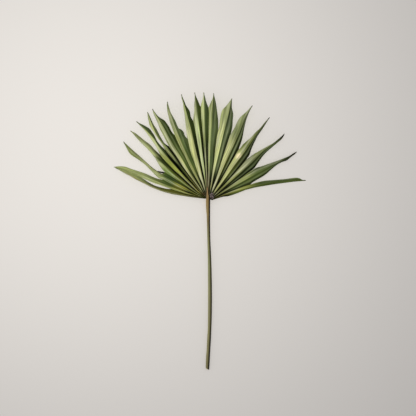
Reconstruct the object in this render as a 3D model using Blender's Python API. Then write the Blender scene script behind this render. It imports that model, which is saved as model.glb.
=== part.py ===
"""Dried fan palm leaf, lying face up on a flat surface.

Two solids: the pleated blade, whose eighteen segments are fused near the hub and free beyond it,
and the leaf stalk, which clasps the hub with a tongue above the blade and a rib below it.
Units are metres. The leaf's length runs along Y, its face looks up along Z.
"""

import math

import bmesh
import bpy
from mathutils import Vector

MM = 0.001

# Where the hub sits, so that the bounding box is centred on the Z axis and stands on Z = 0.
HUB_X = -4.7
HUB_Y = 81.0
HUB_Z = 11.0

# The blade's sheet, in millimetres, and the oval rim that its pleats start from.
SHEET = 0.7
MOST_VERTICAL_SHEET = 2.2
RIM_ACROSS = 10.0
RIM_ALONG = 9.0
RIM_BELOW = 5.0
RIM_SLACK = 1.02
FULL_DEPTH_REACH = 130.0
HALF_ARCH = 0.07
VALLEY_RISE = 1.2
NARROWEST = 0.4
WELD_REACH = 0.01

# How finely each segment is divided.
ACROSS = 4
FUSED_ROWS = 8
FREE_ROWS = 10

# Valleys and ridges are given by their bearings from the hub, in degrees, at these reaches.
REACHES = (33, 51, 82, 108, 136, 164, 192)

# Valleys between segments, counted from the right of the stalk round to its left: where each
# starts round the rim, its bearings, the bottom of the split that ends it, and its height above
# the hub there. Plan points are millimetres from the hub.
VALLEYS = [
    (-25, [-2.0, 1.8, 8.8], (87, 15.2), -6.0),
    (-12, [6.0, 11.8, 15.4], (99, 28), -4.5),
    (3, [18.8, 24.5, 28.5, 30.6], (103, 62), -2.5),
    (20, [32.2, 36.6, 41.0, 42.9], (90, 87), 0.0),
    (40, [48.5, 52.0, 55.2, 56.2], (72, 111), 2.5),
    (60, [64.5, 66.2, 68.5, 69.5, 70.0], (51, 142), 4.5),
    (75, [77.8, 79.5, 80.2, 81.2, 81.6], (24, 156), 5.5),
    (90, [90.0, 90.0, 89.9, 89.9, 89.5, 89.5, 89.3], (1, 208), 7.0),
    (98, [96.6, 95.4, 95.0, 95.0, 94.8, 94.8, 94.8], (-17, 210), 7.0),
    (105, [102.2, 101.3, 101.4, 101.2, 101.0, 100.9], (-35, 177), 6.5),
    (118, [114.0, 113.5, 112.1, 111.5], (-48, 135), 5.0),
    (131, [125.2, 123.0, 121.2, 120.0, 119.3], (-78, 144), 4.0),
    (142, [136.2, 132.8, 130.4, 129.0, 128.3], (-92, 118), -2.0),
    (150, [143.0, 138.8, 135.4, 134.0], (-100, 109), -4.5),
    (157, [152.2, 146.4, 142.8, 141.6, 139.8], (-112, 98), -1.5),
    (163, [161.2, 155.5, 152.0, 150.8], (-101, 57), -2.5),
    (168.5, [170.5, 165.5, 162.2], (-105, 39), -3.5),
    (174, [176.5, 173.2], (-86, 17.4), -4.0),
    (180, [184.3, 179.8, 176.4], (-89, 7), -3.5),
]

# Segments in the same order. Each has its name, the pleat's height for each millimetre of reach,
# its tip, the tip's height above the hub, how soon the free part drops (1 is straight), its free
# edges on the right and on the left, and the bearings of the ridge between them.
SEGMENTS = [
    ("right_1", 0.04, (230, 38), -10.6, 2.0,
     [(110, 21), (133, 25), (157, 29), (180, 32), (204, 35), (222, 36.5)],
     [(115, 33), (133, 37), (157, 39), (180, 41), (204, 44), (214, 43), (222, 39)],
     [1.5, 6.8, 11.4, 12.4, 12.9, 12.5, 11.5]),
    ("right_2", 0.06, (208, 105), -6.0, 1.3,
     [(106, 34), (118, 41), (130, 48), (139, 55), (148, 63), (160, 73), (172, 80), (184, 84.2), (190.3, 89),
      (195.8, 93.6), (202.6, 98.4), (206.2, 102)],
     [(112, 67), (126, 71), (140, 76), (157, 82), (176, 89), (190, 95), (201, 102)],
     [13.2, 19.6, 23.0, 24.6, 25.4, 25.7, 25.8]),
    ("right_3", 0.08, (179.3, 147), -2.0, 1.0,
     [(109, 67), (116, 77), (125, 90), (134, 101), (146, 112), (158, 122), (166, 128.7), (171.6, 133.4),
      (175.2, 138), (178, 143)],
     [(96, 91), (105, 98), (117, 105), (131, 113), (143, 119.8), (151, 124.2), (158.4, 129), (163.7, 133.4),
      (169.2, 138), (174, 142.7), (177, 146)],
     [25.5, 31.6, 35.5, 36.8, 38.0, 39.2, 39.2]),
    ("right_4", 0.08, (144.4, 185.4), 2.0, 1.0,
     [(97, 97), (101, 109), (106, 121), (111, 131.5), (116, 141.5), (123, 151.5), (130.4, 162.5),
      (139.4, 177)],
     [(76, 114), (82, 122), (91, 130), (101, 139), (112, 151), (122.8, 161), (132.2, 173), (139.6, 181)],
     [40.0, 45.2, 48.8, 49.9, 50.7, 51.5, 52.0]),
    ("right_5", 0.08, (104, 213), 5.0, 1.0,
     [(73, 114), (77, 125), (81, 139), (84, 156), (87, 170), (90, 181), (94.5, 193), (97.2, 199),
      (99.6, 203.6), (101.9, 208.3)],
     [(53, 146), (57, 152), (63, 163), (68, 174), (75, 185), (85.3, 194.2), (90.4, 198.9), (94.9, 203.6),
      (99, 208.3)],
     [55.8, 60.2, 62.6, 63.1, 63.5, 63.8, 64.2]),
    ("right_6", 0.09, (56, 229), 8.0, 1.0,
     [(54, 149), (57, 163), (58, 179), (59, 193), (56, 207), (56, 221)],
     [(26, 163), (28, 179), (30, 191), (33.5, 202), (40.4, 209.5), (45.5, 215.5), (51.5, 223.5)],
     [73.0, 75.2, 75.9, 76.1, 76.2, 76.2, 76.0]),
    ("right_7", 0.10, (13, 241), 9.0, 1.0,
     [(24, 174), (23, 186), (21, 202), (19, 216), (16, 230)],
     [(4, 214), (7, 221), (11, 230)],
     [85.0, 85.6, 87.0, 87.3, 87.5, 87.1, 87.1]),
    ("centre", 0.11, (-10, 243), 8.0, 1.0,
     [(0, 211), (-4, 221), (-7, 233)],
     [(-15, 219), (-12, 230)],
     [93.6, 92.9, 92.8, 92.6, 92.7, 92.6, 92.5]),
    ("left_1", 0.11, (-31, 243), 9.0, 1.0,
     [(-19, 213), (-23, 223), (-28, 234)],
     [(-33, 191), (-32, 202), (-32, 216), (-31, 230)],
     [99.2, 98.0, 97.4, 97.4, 97.2, 97.2, 97.2]),
    ("left_2", 0.10, (-62, 239), 7.0, 1.0,
     [(-40, 186), (-42, 197), (-45, 203.6), (-48.3, 208.3), (-51.4, 213), (-54.2, 220), (-56.3, 225),
      (-58.3, 229.5)],
     [(-51, 156), (-53, 174), (-55, 193), (-57, 204), (-57.8, 215), (-59, 220), (-59.9, 224.6), (-61.7, 230)],
     [106.8, 106.0, 105.1, 104.9, 104.4, 104.2, 104.3]),
    ("left_3", 0.09, (-95, 222), 4.0, 1.0,
     [(-54, 142), (-57, 151), (-63, 157), (-69, 160), (-76, 176), (-82, 187), (-89, 200), (-92, 212)],
     [(-83, 158), (-89, 174), (-92, 186), (-95, 198), (-96, 214)],
     [120.0, 118.0, 117.1, 116.5, 116.1, 115.5, 114.8]),
    ("left_4", 0.09, (-130, 205), 4.0, 1.0,
     [(-84, 150), (-91, 163), (-97, 172), (-103, 179), (-110, 183), (-117, 188), (-124, 197)],
     [(-98, 130), (-105, 144), (-112, 157), (-117, 170), (-124, 186), (-128, 195)],
     [130.8, 128.3, 126.2, 124.8, 124.1, 123.5, 122.8]),
    ("left_5", 0.07, (-142, 198), -4.5, 1.3,
     [(-101, 124), (-106, 131), (-113, 143), (-120, 157), (-127, 168), (-134, 183), (-138.5, 193)],
     [(-102, 112), (-110, 126), (-120, 140), (-128, 152.5), (-136, 165), (-139, 177), (-141, 186)],
     [139.6, 135.8, 132.9, 131.5, 130.7, 130.8, 129.5]),
    ("left_6", 0.09, (-168, 176), -2.0, 1.0,
     [(-112, 121), (-119, 130), (-125, 142), (-131, 151), (-136, 158), (-143, 163), (-152, 168),
      (-161, 172)],
     [(-122, 118), (-129, 128), (-136, 138), (-147, 153), (-159, 166)],
     [147.5, 142.2, 138.6, 136.9, 135.7, 134.6, 133.0]),
    ("left_7", 0.07, (-182, 154), -4.0, 1.0,
     [(-124, 109), (-136, 122), (-147, 130), (-159, 140), (-171, 149)],
     [(-110, 67), (-117, 78), (-124, 90), (-133, 102), (-145, 115), (-157, 126), (-168, 138), (-178, 150)],
     [156.8, 151.2, 147.8, 146.0, 143.4, 140.9, 139.6]),
    ("left_8", 0.05, (-198, 129), -6.0, 1.3,
     [(-105, 54.2), (-110, 54), (-117, 58.5), (-131, 68.5), (-145, 81), (-159, 94), (-173, 106), (-185, 117),
      (-194, 125)],
     [(-115, 43), (-124, 51), (-136, 63), (-147, 74), (-164, 87), (-178, 96), (-185, 103), (-192, 116),
      (-197, 125)],
     [165.8, 160.2, 157.0, 155.4, 154.8, 152.4, 150.0]),
    ("left_9", 0.05, (-221, 69), -10.8, 2.2,
     [(-119, 42), (-136, 49), (-147, 54), (-168, 61), (-183, 66), (-194, 70), (-206, 71), (-215, 70.5)],
     [(-94, 20.4), (-102, 23.2), (-112, 26.8), (-124, 30.6), (-136, 35.4), (-145, 39.4), (-154, 43.6),
      (-170, 50), (-190, 58), (-208, 65)],
     [173.5, 169.6, 165.8, 164.0, 163.0, 161.7, 161.4]),
    ("left_10", 0.05, (-217, 67), -4.5, 1.0,
     [(-94, 17.9), (-102, 19.3), (-112, 21.9), (-124, 25.5), (-136, 31.6), (-144, 36.6), (-152, 42),
      (-159, 46), (-171, 52), (-182, 58), (-194, 62.5)],
     [(-101, 10), (-112, 13.5), (-124, 18), (-136, 23), (-147, 29), (-159, 35), (-171, 41), (-183, 48),
      (-194, 53.5), (-206, 60.5)],
     [180.2, 176.8, 173.2, 171.9, 169.5, 166.6, 164.3]),
]

# The stalk's course below the hub: distance along Y from the hub, X, height of its axis above the
# hub, and width, in millimetres.
STALK = [
    (-406, -1.5, -7.3, 8.2),
    (-396, -0.9, -7.3, 8.6),
    (-375, 0.1, -7.2, 9.0),
    (-355, 1.4, -6.9, 8.5),
    (-334, 2.5, -6.6, 8.8),
    (-305, 3.9, -6.2, 8.4),
    (-277, 4.5, -5.9, 9.0),
    (-231, 4.8, -5.3, 9.2),
    (-184, 4.4, -4.7, 8.8),
    (-137, 3.4, -4.0, 7.8),
    (-102, 2.1, -3.4, 7.2),
    (-67, 1.4, -2.8, 7.4),
    (-45, 1.0, -2.4, 8.0),
    (-28, 0.3, -2.0, 9.6),
    (-12, 0.1, -1.7, 10.2),
    (4, 0.0, -1.5, 9.4),
]
STALK_DEPTH = 0.88
STALK_SIDES = 16
STALK_STEP = 12.0
GABLE = 1.25
END_SLANT = 0.55
END_TRIM = 2.0

# The tongue lies on the pleats and the rib runs under them: Y, X, bottom, top and width.
TONGUE = [
    (-22, 0.2, -2.5, 2.4, 9.0),
    (-14, 0.1, -1.5, 2.8, 9.8),
    (-7, 0.0, 0.2, 3.1, 9.8),
    (0, -0.3, 1.0, 3.4, 8.0),
    (6, -0.7, 1.6, 3.8, 6.2),
    (12, -1.1, 2.2, 4.3, 4.6),
    (18, -1.5, 2.8, 4.8, 3.2),
    (23, -1.7, 3.3, 5.1, 1.6),
]
RIB = [
    (-24, 0.2, -5.4, -0.5, 8.4),
    (-6, 0.1, -5.6, -1.2, 8.2),
    (12, -0.2, -5.0, -1.0, 6.6),
    (35, -0.8, -3.9, -0.8, 4.6),
    (58, -1.6, -2.4, -0.9, 2.2),
]

# The slot between tongue and rib that the blade's hub lies in.
SLOT_START = -7.7
SLOT_END = 90.0
SLOT_WIDTH = 40.0
SLOT_TOP = (1.65, 0.095)
SLOT_BOTTOM = (-2.0, 0.02)


def clear_scene():
    """Remove whatever the scene holds."""
    for obj in list(bpy.data.objects):
        bpy.data.objects.remove(obj, do_unlink=True)


def new_collection(name, hidden=False):
    """A collection in the scene, hidden if it is for cutters."""
    group = bpy.data.collections.new(name)
    bpy.context.scene.collection.children.link(group)
    group.hide_render = hidden
    return group


def new_material(name, colour, roughness):
    """A Principled material that isn't metallic."""
    material = bpy.data.materials.new(name)
    material.use_nodes = True
    shader = material.node_tree.nodes["Principled BSDF"]
    shader.inputs["Base Color"].default_value = (*colour, 1.0)
    shader.inputs["Roughness"].default_value = roughness
    shader.inputs["Metallic"].default_value = 0.0
    material.diffuse_color = (*colour, 1.0)
    return material


def object_from(bm, name, group, material=None):
    """Turn the bmesh into a named object in a collection."""
    mesh = bpy.data.meshes.new(name)
    bm.to_mesh(mesh)
    bm.free()
    obj = bpy.data.objects.new(name, mesh)
    group.objects.link(obj)
    if material:
        mesh.materials.append(material)
    return obj


def smooth_line(points, steps=8):
    """A Catmull-Rom curve through the points, as closely spaced vectors."""
    points = [Vector(p) for p in points]
    if len(points) < 3:
        return points
    ends = [2 * points[0] - points[1], *points, 2 * points[-1] - points[-2]]
    line = []
    for a, b, c, d in zip(ends, ends[1:], ends[2:], ends[3:]):
        for step in range(steps):
            t = step / steps
            bend = (2 * a - 5 * b + 4 * c - d) * t**2
            twist = (3 * b - a - 3 * c + d) * t**3
            line.append(0.5 * (2 * b + (c - a) * t + bend + twist))
    line.append(points[-1])
    return line


def along(line, count):
    """Count + 1 points at equal distances along a line."""
    lengths = [0.0]
    for a, b in zip(line, line[1:]):
        lengths.append(lengths[-1] + (b - a).length)
    found, i = [], 0
    for k in range(count + 1):
        want = lengths[-1] * k / count
        while i < len(line) - 2 and lengths[i + 1] < want:
            i += 1
        t = (want - lengths[i]) / (lengths[i + 1] - lengths[i])
        found.append(line[i].lerp(line[i + 1], t))
    return found


def at_reach(line, reach):
    """The point of a line at this distance from the hub."""
    for a, b in zip(line, line[1:]):
        if b.length >= reach:
            t = (reach - a.length) / (b.length - a.length)
            return a.lerp(b, max(0.0, min(1.0, t)))
    return line[-1]


def on_rim(turn):
    """The point of the hub's oval rim this far round it."""
    angle = math.radians(turn)
    return (RIM_ACROSS * math.cos(angle), RIM_ALONG * math.sin(angle) - RIM_BELOW)


def by_bearing(bearings):
    """Plan points at the standard reaches."""
    angles = [math.radians(bearing) for bearing in bearings]
    return [(reach * math.cos(angle), reach * math.sin(angle)) for reach, angle in zip(REACHES, angles)]


def valley_rows(valley):
    """A valley's fused rows, in plan, with their heights above the hub."""
    turn, bearings, split, height = valley
    plan = along(smooth_line([on_rim(turn), *by_bearing(bearings), split]), FUSED_ROWS)
    return plan, [height * (row / FUSED_ROWS) ** VALLEY_RISE for row in range(FUSED_ROWS + 1)]


def edge_rows(fused, split_height, free, tip, tip_height, drop):
    """One edge of a segment from the hub to the tip, in plan and height."""
    plan, heights = fused
    outer = along(smooth_line([plan[-1], *free, tip]), FREE_ROWS)
    plan = plan + outer[1:]
    heights = list(heights)
    for row in range(1, FREE_ROWS + 1):
        fallen = 1 - (1 - row / FREE_ROWS) ** drop
        heights.append(split_height + (tip_height - split_height) * fallen)
    return plan, heights


def segment_surface(index):
    """Rows of (left edge, ridge, right edge) points of one segment, and the pleat's slope there."""
    _, pleat, tip, tip_height, drop, right_free, left_free, ridge = SEGMENTS[index]
    right_valley, left_valley = VALLEYS[index], VALLEYS[index + 1]
    right, right_z = edge_rows(
        valley_rows(right_valley), right_valley[3], right_free, tip, tip_height, drop
    )
    left, left_z = edge_rows(
        valley_rows(left_valley), left_valley[3], left_free, tip, tip_height, drop
    )
    crest = smooth_line([on_rim((right_valley[0] + left_valley[0]) / 2), *by_bearing(ridge), tip])
    split_width = (left[FUSED_ROWS] - right[FUSED_ROWS]).length
    split_reach = (left[FUSED_ROWS].length + right[FUSED_ROWS].length) / 2
    rows = []
    for row in range(FUSED_ROWS + FREE_ROWS + 1):
        width = (left[row] - right[row]).length
        if row <= FUSED_ROWS:
            reach = (left[row].length + right[row].length) / 2
            taper = 1.0
        else:
            share = (row - FUSED_ROWS) / FREE_ROWS
            reach = split_reach + (Vector(tip).length - split_reach) * share
            taper = min(1.0, width / split_width)
        depth = pleat * FULL_DEPTH_REACH * math.tanh(reach / FULL_DEPTH_REACH) * taper
        middle = at_reach(crest, reach) if row else crest[0]
        rows.append(
            (
                Vector((*left[row], left_z[row])),
                Vector((*middle, (left_z[row] + right_z[row]) / 2 + depth)),
                Vector((*right[row], right_z[row])),
                depth,
                math.hypot(1, 2 * depth / max(width, NARROWEST)),
            )
        )
    return rows


def place(rows, column, row):
    """The point of a segment at this column, from its left edge to its right, and row."""
    left, middle, right, depth, _ = rows[row]
    share = column / ACROSS
    if share <= 0.5:
        point = left.lerp(middle, 2 * share)
    else:
        point = middle.lerp(right, 2 * share - 1)
    point.z += depth * HALF_ARCH * math.sin(math.pi * (2 * share % 1.0))
    return point


def add_segment(bm, thickness, index):
    """Add one folded segment as a grid whose vertices are moved onto its surface."""
    rows = segment_surface(index)
    count = FUSED_ROWS + FREE_ROWS
    grid = bmesh.ops.create_grid(bm, x_segments=ACROSS, y_segments=count, size=1.0)
    for vert in grid["verts"]:
        column = round((vert.co.x + 1) / 2 * ACROSS)
        row = round((vert.co.y + 1) / 2 * count)
        point = place(rows, column, row)
        vert[thickness] = min(MOST_VERTICAL_SHEET, SHEET * rows[row][4])
        point.z = max(point.z, vert[thickness] - HUB_Z)
        vert.co = point


def inside_rim(vert):
    """Whether a vertex lies on the hub's rim or inside it."""
    return (vert.co.x / RIM_ACROSS) ** 2 + ((vert.co.y + RIM_BELOW) / RIM_ALONG) ** 2 < RIM_SLACK


def close_hub(bm):
    """Fill the fan's middle from its inner rim to the hub's centre."""
    rim = [edge for edge in bm.edges if edge.is_boundary and all(map(inside_rim, edge.verts))]
    made = bmesh.ops.extrude_edge_only(bm, edges=rim)["geom"]
    inner = [item for item in made if isinstance(item, bmesh.types.BMVert)]
    bmesh.ops.pointmerge(bm, verts=inner, merge_co=(0.0, -RIM_BELOW, 0.0))


def build_blade(group, material):
    """The pleated fan: a sheet of eighteen folded segments, thickened straight down."""
    bm = bmesh.new()
    thickness = bm.verts.layers.float.new("thickness")
    for index in range(len(SEGMENTS)):
        add_segment(bm, thickness, index)
    bmesh.ops.remove_doubles(bm, verts=bm.verts, dist=WELD_REACH)
    close_hub(bm)
    bmesh.ops.triangulate(bm, faces=bm.faces[:])
    bmesh.ops.recalc_face_normals(bm, faces=bm.faces[:])
    lower = bmesh.ops.extrude_face_region(bm, geom=bm.faces[:], use_keep_orig=True)["geom"]
    for vert in (item for item in lower if isinstance(item, bmesh.types.BMVert)):
        vert.co.z -= vert[thickness]
    bmesh.ops.recalc_face_normals(bm, faces=bm.faces[:])
    bmesh.ops.scale(bm, vec=(MM, MM, MM), verts=bm.verts)
    return object_from(bm, "fan_blade", group, material)


def section(x, y, bottom, top, width):
    """One cross-section of the stalk: a blunt gable above and a round belly below."""
    middle = (bottom + top) / 2
    points = []
    for side in range(STALK_SIDES):
        angle = 2 * math.pi * side / STALK_SIDES
        across, up = math.cos(angle), math.sin(angle)
        power = GABLE if up > 0 else 1.0
        points.append(
            (
                x + width / 2 * math.copysign(abs(across) ** power, across),
                y,
                max(middle + (top - bottom) / 2 * math.copysign(abs(up) ** power, up), -HUB_Z),
            )
        )
    return points


def loft(name, stations, group):
    """A closed tube through cross-sections, by extruding one ring from the last."""
    bm = bmesh.new()
    ring = bmesh.ops.create_circle(bm, cap_ends=False, radius=1.0, segments=STALK_SIDES)["verts"]
    edges = bm.edges[:]
    ring.sort(key=lambda vert: math.atan2(vert.co.y, vert.co.x) % (2 * math.pi))
    for number, station in enumerate(stations):
        if number:
            made = bmesh.ops.extrude_edge_only(bm, edges=edges)["geom"]
            edges = [item for item in made if isinstance(item, bmesh.types.BMEdge)]
            ring = match_ring(ring, edges)
        for vert, point in zip(ring, section(*station)):
            vert.co = point
    bmesh.ops.holes_fill(bm, edges=bm.edges[:], sides=0)
    bmesh.ops.recalc_face_normals(bm, faces=bm.faces[:])
    bmesh.ops.scale(bm, vec=(MM, MM, MM), verts=bm.verts)
    return object_from(bm, name, group)


def match_ring(ring, edges):
    """The new ring's vertices in the old ring's order: each is joined to its own by one edge."""
    fresh = {vert for edge in edges for vert in edge.verts}
    return [
        next(edge.other_vert(vert) for edge in vert.link_edges if edge.other_vert(vert) in fresh)
        for vert in ring
    ]


def stalk_stations():
    """Cross-sections of the stalk at even steps, on smooth curves through its dimensions."""
    course = smooth_line([(y, x, z, width) for y, x, z, width in STALK], steps=6)
    low, high = STALK[0][0], STALK[-1][0]
    count = round((high - low) / STALK_STEP)
    stations, i = [], 0
    for k in range(count + 1):
        y = low + (high - low) * k / count
        while i < len(course) - 2 and course[i + 1][0] < y:
            i += 1
        t = (y - course[i][0]) / (course[i + 1][0] - course[i][0])
        _, x, z, width = course[i].lerp(course[i + 1], t)
        half = width * STALK_DEPTH / 2
        stations.append((x, y, z - half, z + half, width))
    return stations


def slot_cutter(group):
    """A wedge that frees the blade's hub from the tongue and the rib."""
    bm = bmesh.new()
    bmesh.ops.create_cube(bm, size=1.0)
    for vert in bm.verts:
        y = SLOT_START if vert.co.y < 0 else SLOT_END
        base, slope = SLOT_TOP if vert.co.z > 0 else SLOT_BOTTOM
        vert.co = (vert.co.x * SLOT_WIDTH * MM, y * MM, (base + slope * y) * MM)
    bmesh.ops.recalc_face_normals(bm, faces=bm.faces[:])
    cutter = object_from(bm, "hub_slot", group)
    cutter.display_type = "WIRE"
    cutter.hide_render = True
    return cutter


def join_with(target, other, operation):
    """A Boolean modifier on the target."""
    modifier = target.modifiers.new(f"{operation.lower()} {other.name}", "BOOLEAN")
    modifier.operation = operation
    modifier.object = other
    modifier.solver = "EXACT"


def build_petiole(group, cutters, material):
    """The stalk with its tongue and rib joined, the slot cut and the end cut at a slant."""
    stalk = loft("petiole", stalk_stations(), group)
    tongue = loft("tongue", [(x, y, low, high, width) for y, x, low, high, width in TONGUE], cutters)
    rib = loft("rib", [(x, y, low, high, width) for y, x, low, high, width in RIB], cutters)
    for helper in (tongue, rib):
        helper.display_type = "WIRE"
        helper.hide_render = True
        join_with(stalk, helper, "UNION")
    bm = bmesh.new()
    bm.from_mesh(stalk.data)
    cut = bmesh.ops.bisect_plane(
        bm,
        geom=bm.verts[:] + bm.edges[:] + bm.faces[:],
        plane_co=(STALK[0][1] * MM, (STALK[0][0] + END_TRIM) * MM, 0.0),
        plane_no=(-END_SLANT, -1.0, 0.0),
        clear_outer=True,
    )["geom_cut"]
    bmesh.ops.contextual_create(bm, geom=[item for item in cut if isinstance(item, bmesh.types.BMEdge)])
    bmesh.ops.recalc_face_normals(bm, faces=bm.faces[:])
    bm.to_mesh(stalk.data)
    bm.free()
    join_with(stalk, slot_cutter(cutters), "DIFFERENCE")
    stalk.data.materials.append(material)
    return stalk


def main():
    clear_scene()
    leaf = new_collection("fan_palm_leaf")
    cutters = new_collection("cutters", hidden=True)
    frame = bpy.data.objects.new("leaf_frame", None)
    leaf.objects.link(frame)
    green = new_material("dried_blade", (0.115, 0.160, 0.055), 0.62)
    tan = new_material("dried_stalk", (0.170, 0.150, 0.075), 0.55)
    for piece in (build_blade(leaf, green), build_petiole(leaf, cutters, tan)):
        piece.parent = frame
        piece.location = (HUB_X * MM, HUB_Y * MM, HUB_Z * MM)
    for helper in cutters.objects:
        helper.parent = frame
        helper.location = (HUB_X * MM, HUB_Y * MM, HUB_Z * MM)


main()
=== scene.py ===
# %% [markdown]
# # A dried fan palm leaf
# The leaf lies face up. Eighteen folded segments are grown together round a hub, and a long thin
# stalk holds them. The CAD frame gives the two solids at their real size. This lesson dresses
# them: it models the blade and the stalk again with many more faces and gives them a finish.
# Everything is placed in the frame's own metres, so nothing has to be fitted afterwards.

# %% Load the fixed frame
import math
import random

import bmesh
import bpy
from mathutils import Matrix, Vector, noise


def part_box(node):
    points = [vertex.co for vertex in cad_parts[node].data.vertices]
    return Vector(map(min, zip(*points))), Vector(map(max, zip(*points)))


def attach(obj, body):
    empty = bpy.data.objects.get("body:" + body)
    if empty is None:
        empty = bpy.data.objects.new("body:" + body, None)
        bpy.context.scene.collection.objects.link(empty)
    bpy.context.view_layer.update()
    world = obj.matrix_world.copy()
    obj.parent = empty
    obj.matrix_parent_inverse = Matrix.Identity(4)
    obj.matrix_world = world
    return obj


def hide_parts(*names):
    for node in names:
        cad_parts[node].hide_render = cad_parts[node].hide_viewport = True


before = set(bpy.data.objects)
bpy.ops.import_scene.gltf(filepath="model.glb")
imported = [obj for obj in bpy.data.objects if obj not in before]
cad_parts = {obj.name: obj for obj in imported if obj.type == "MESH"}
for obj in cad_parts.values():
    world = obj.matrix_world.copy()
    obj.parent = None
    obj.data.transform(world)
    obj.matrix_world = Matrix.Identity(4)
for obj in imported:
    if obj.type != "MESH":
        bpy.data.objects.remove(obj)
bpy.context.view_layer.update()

MM = 0.001
BLADE_LOW, BLADE_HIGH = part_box("fan_blade")
print("blade solid", BLADE_LOW, BLADE_HIGH)

# %% [markdown]
# ## Camera
# The leaf was photographed square on, so the camera hangs straight above it and looks down. A long
# lens from far away keeps the raised pleats from leaning outwards. The distance follows from the
# lens and from how many millimetres the picture takes in at the blade's mean height.

# %% Camera
FIELD = 973.4 * MM
FIELD_CENTRE = (-4.7 * MM, 54.1 * MM)
LENS = 150.0
SENSOR = 36.0
FAR_CLIP = 50.0
MEAN_HEIGHT = 12.0 * MM


def hang_camera():
    """A camera that looks straight down on the leaf, with +Y up in the picture."""
    data = bpy.data.cameras.new("overhead")
    data.lens = LENS
    data.sensor_width = SENSOR
    data.clip_end = FAR_CLIP
    camera = bpy.data.objects.new("overhead", data)
    camera.location = (*FIELD_CENTRE, MEAN_HEIGHT + FIELD * LENS / SENSOR)
    bpy.context.scene.collection.objects.link(camera)
    bpy.context.scene.camera = camera
    return camera


overhead = hang_camera()
print("camera height", round(overhead.location.z, 3))

# %% [markdown]
# ## Colours and plain finishes
# Colours are chosen as the screen shows them, from 0 to 255, and turned into the linear values
# that a shader works with. The Standard view keeps them as they are. Every finish starts from the
# same Principled shader, with its constant values set on its own sockets, and every bmesh becomes
# an object in the same way, so both have a helper.

# %% Helpers for colours, materials and objects
def linear(colour):
    """Screen values from 0 to 255 as linear values from 0 to 1, by the sRGB curve."""
    shares = [channel / 255 for channel in colour]
    return [share / 12.92 if share <= 0.04045 else ((share + 0.055) / 1.055) ** 2.4 for share in shares]


def new_material(name, roughness, specular):
    """An empty Principled material with constant gloss values on its own sockets."""
    material = bpy.data.materials.new(name)
    material.use_nodes = True
    shader = material.node_tree.nodes["Principled BSDF"]
    shader.inputs["Roughness"].default_value = roughness
    shader.inputs["Specular IOR Level"].default_value = specular
    return material, material.node_tree, shader


def as_object(bm, name, material=None):
    """Turn a bmesh into an object of the scene and free it."""
    mesh = bpy.data.meshes.new(name)
    bm.to_mesh(mesh)
    bm.free()
    if material:
        mesh.materials.append(material)
    made = bpy.data.objects.new(name, mesh)
    bpy.context.scene.collection.objects.link(made)
    return made


bpy.context.scene.view_settings.view_transform = "Standard"
bpy.context.scene.view_settings.look = "None"
print("middle grey in linear values", [round(value, 3) for value in linear((128, 128, 128))])

# %% [markdown]
# ## Light and floor
# The key light is a broad panel on the left, rather low, so that the half of each pleat that faces
# it is bright and the other half turns away from it. The sky fills in the rest. Light linking gives
# the leaf and the floor a panel each, the key and the wash, and only the floor may block either of
# them. So the folds throw no hard shadow on one another or on the floor, and what is left is the
# soft shade of the sky. The shade between the folds is painted into the blade's colours instead.

# %% Sky, panels and floor
FLOOR_SIZE = 9.0
FLOOR_COLOUR = (222, 218, 214)
FLOOR_ROUGHNESS, FLOOR_SPECULAR = 0.9, 0.1
SKY_COLOUR = (232, 232, 234)
SKY_STRENGTH = 0.5
PANEL_SIZE = 1.0
PANEL_COLOUR = (253, 252, 248)
KEY_PLACE = (-1.9, 0.1, 1.25)
KEY_AIM = (0.0, 0.1, 0.0)
KEY_POWER = 43.0
# The wash looks down, a hair off the vertical, which settles how it is turned.
WASH_PLACE = (-0.31, 0.25, 1.0)
WASH_AIM = (-0.31, 0.2501, 0.0)
WASH_POWER = 9.8


def hang_sky():
    """An even pale sky."""
    sky = bpy.data.worlds.new("pale_sky")
    sky.use_nodes = True
    background = sky.node_tree.nodes["Background"]
    background.inputs["Color"].default_value = (*linear(SKY_COLOUR), 1.0)
    background.inputs["Strength"].default_value = SKY_STRENGTH
    bpy.context.scene.world = sky


def hang_panel(name, place, aim, power, receivers, blockers):
    """A square soft panel that looks at a point, lights its receivers and is hidden by its blockers."""
    data = bpy.data.lights.new(name, "AREA")
    data.size = PANEL_SIZE
    data.energy = power
    data.color = linear(PANEL_COLOUR)
    panel = bpy.data.objects.new(name, data)
    panel.location = place
    panel.rotation_euler = (Vector(aim) - panel.location).to_track_quat("-Z", "Y").to_euler()
    bpy.context.scene.collection.objects.link(panel)
    panel.light_linking.receiver_collection = receivers
    panel.light_linking.blocker_collection = blockers
    return panel


def lay_floor():
    """A plain pale floor."""
    material, _, shader = new_material("pale_floor", FLOOR_ROUGHNESS, FLOOR_SPECULAR)
    shader.inputs["Base Color"].default_value = (*linear(FLOOR_COLOUR), 1.0)
    bm = bmesh.new()
    bmesh.ops.create_grid(bm, x_segments=1, y_segments=1, size=FLOOR_SIZE / 2)
    floor = as_object(bm, "floor", material)
    return floor


hang_sky()
LIT_LEAF = bpy.data.collections.new("lit_leaf")
LIT_FLOOR = bpy.data.collections.new("lit_floor")
LIT_FLOOR.objects.link(lay_floor())
PANELS = [
    hang_panel("key_on_leaf", KEY_PLACE, KEY_AIM, KEY_POWER, LIT_LEAF, LIT_FLOOR),
    hang_panel("wash_on_floor", WASH_PLACE, WASH_AIM, WASH_POWER, LIT_FLOOR, LIT_FLOOR),
]
print("panels", [panel.name for panel in PANELS])

# %% [markdown]
# ## The leaf's plan
# A palm blade is a fan of folded strips. Two neighbours share a valley as far as the split between
# them, and a ridge runs up the middle of each strip. So the blade is told by its valleys, its
# ridges and the free edges beyond each split. These are the same dimensions as the solid's, in
# millimetres from the hub, which keeps the fine blade exactly where the solid is.

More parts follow.
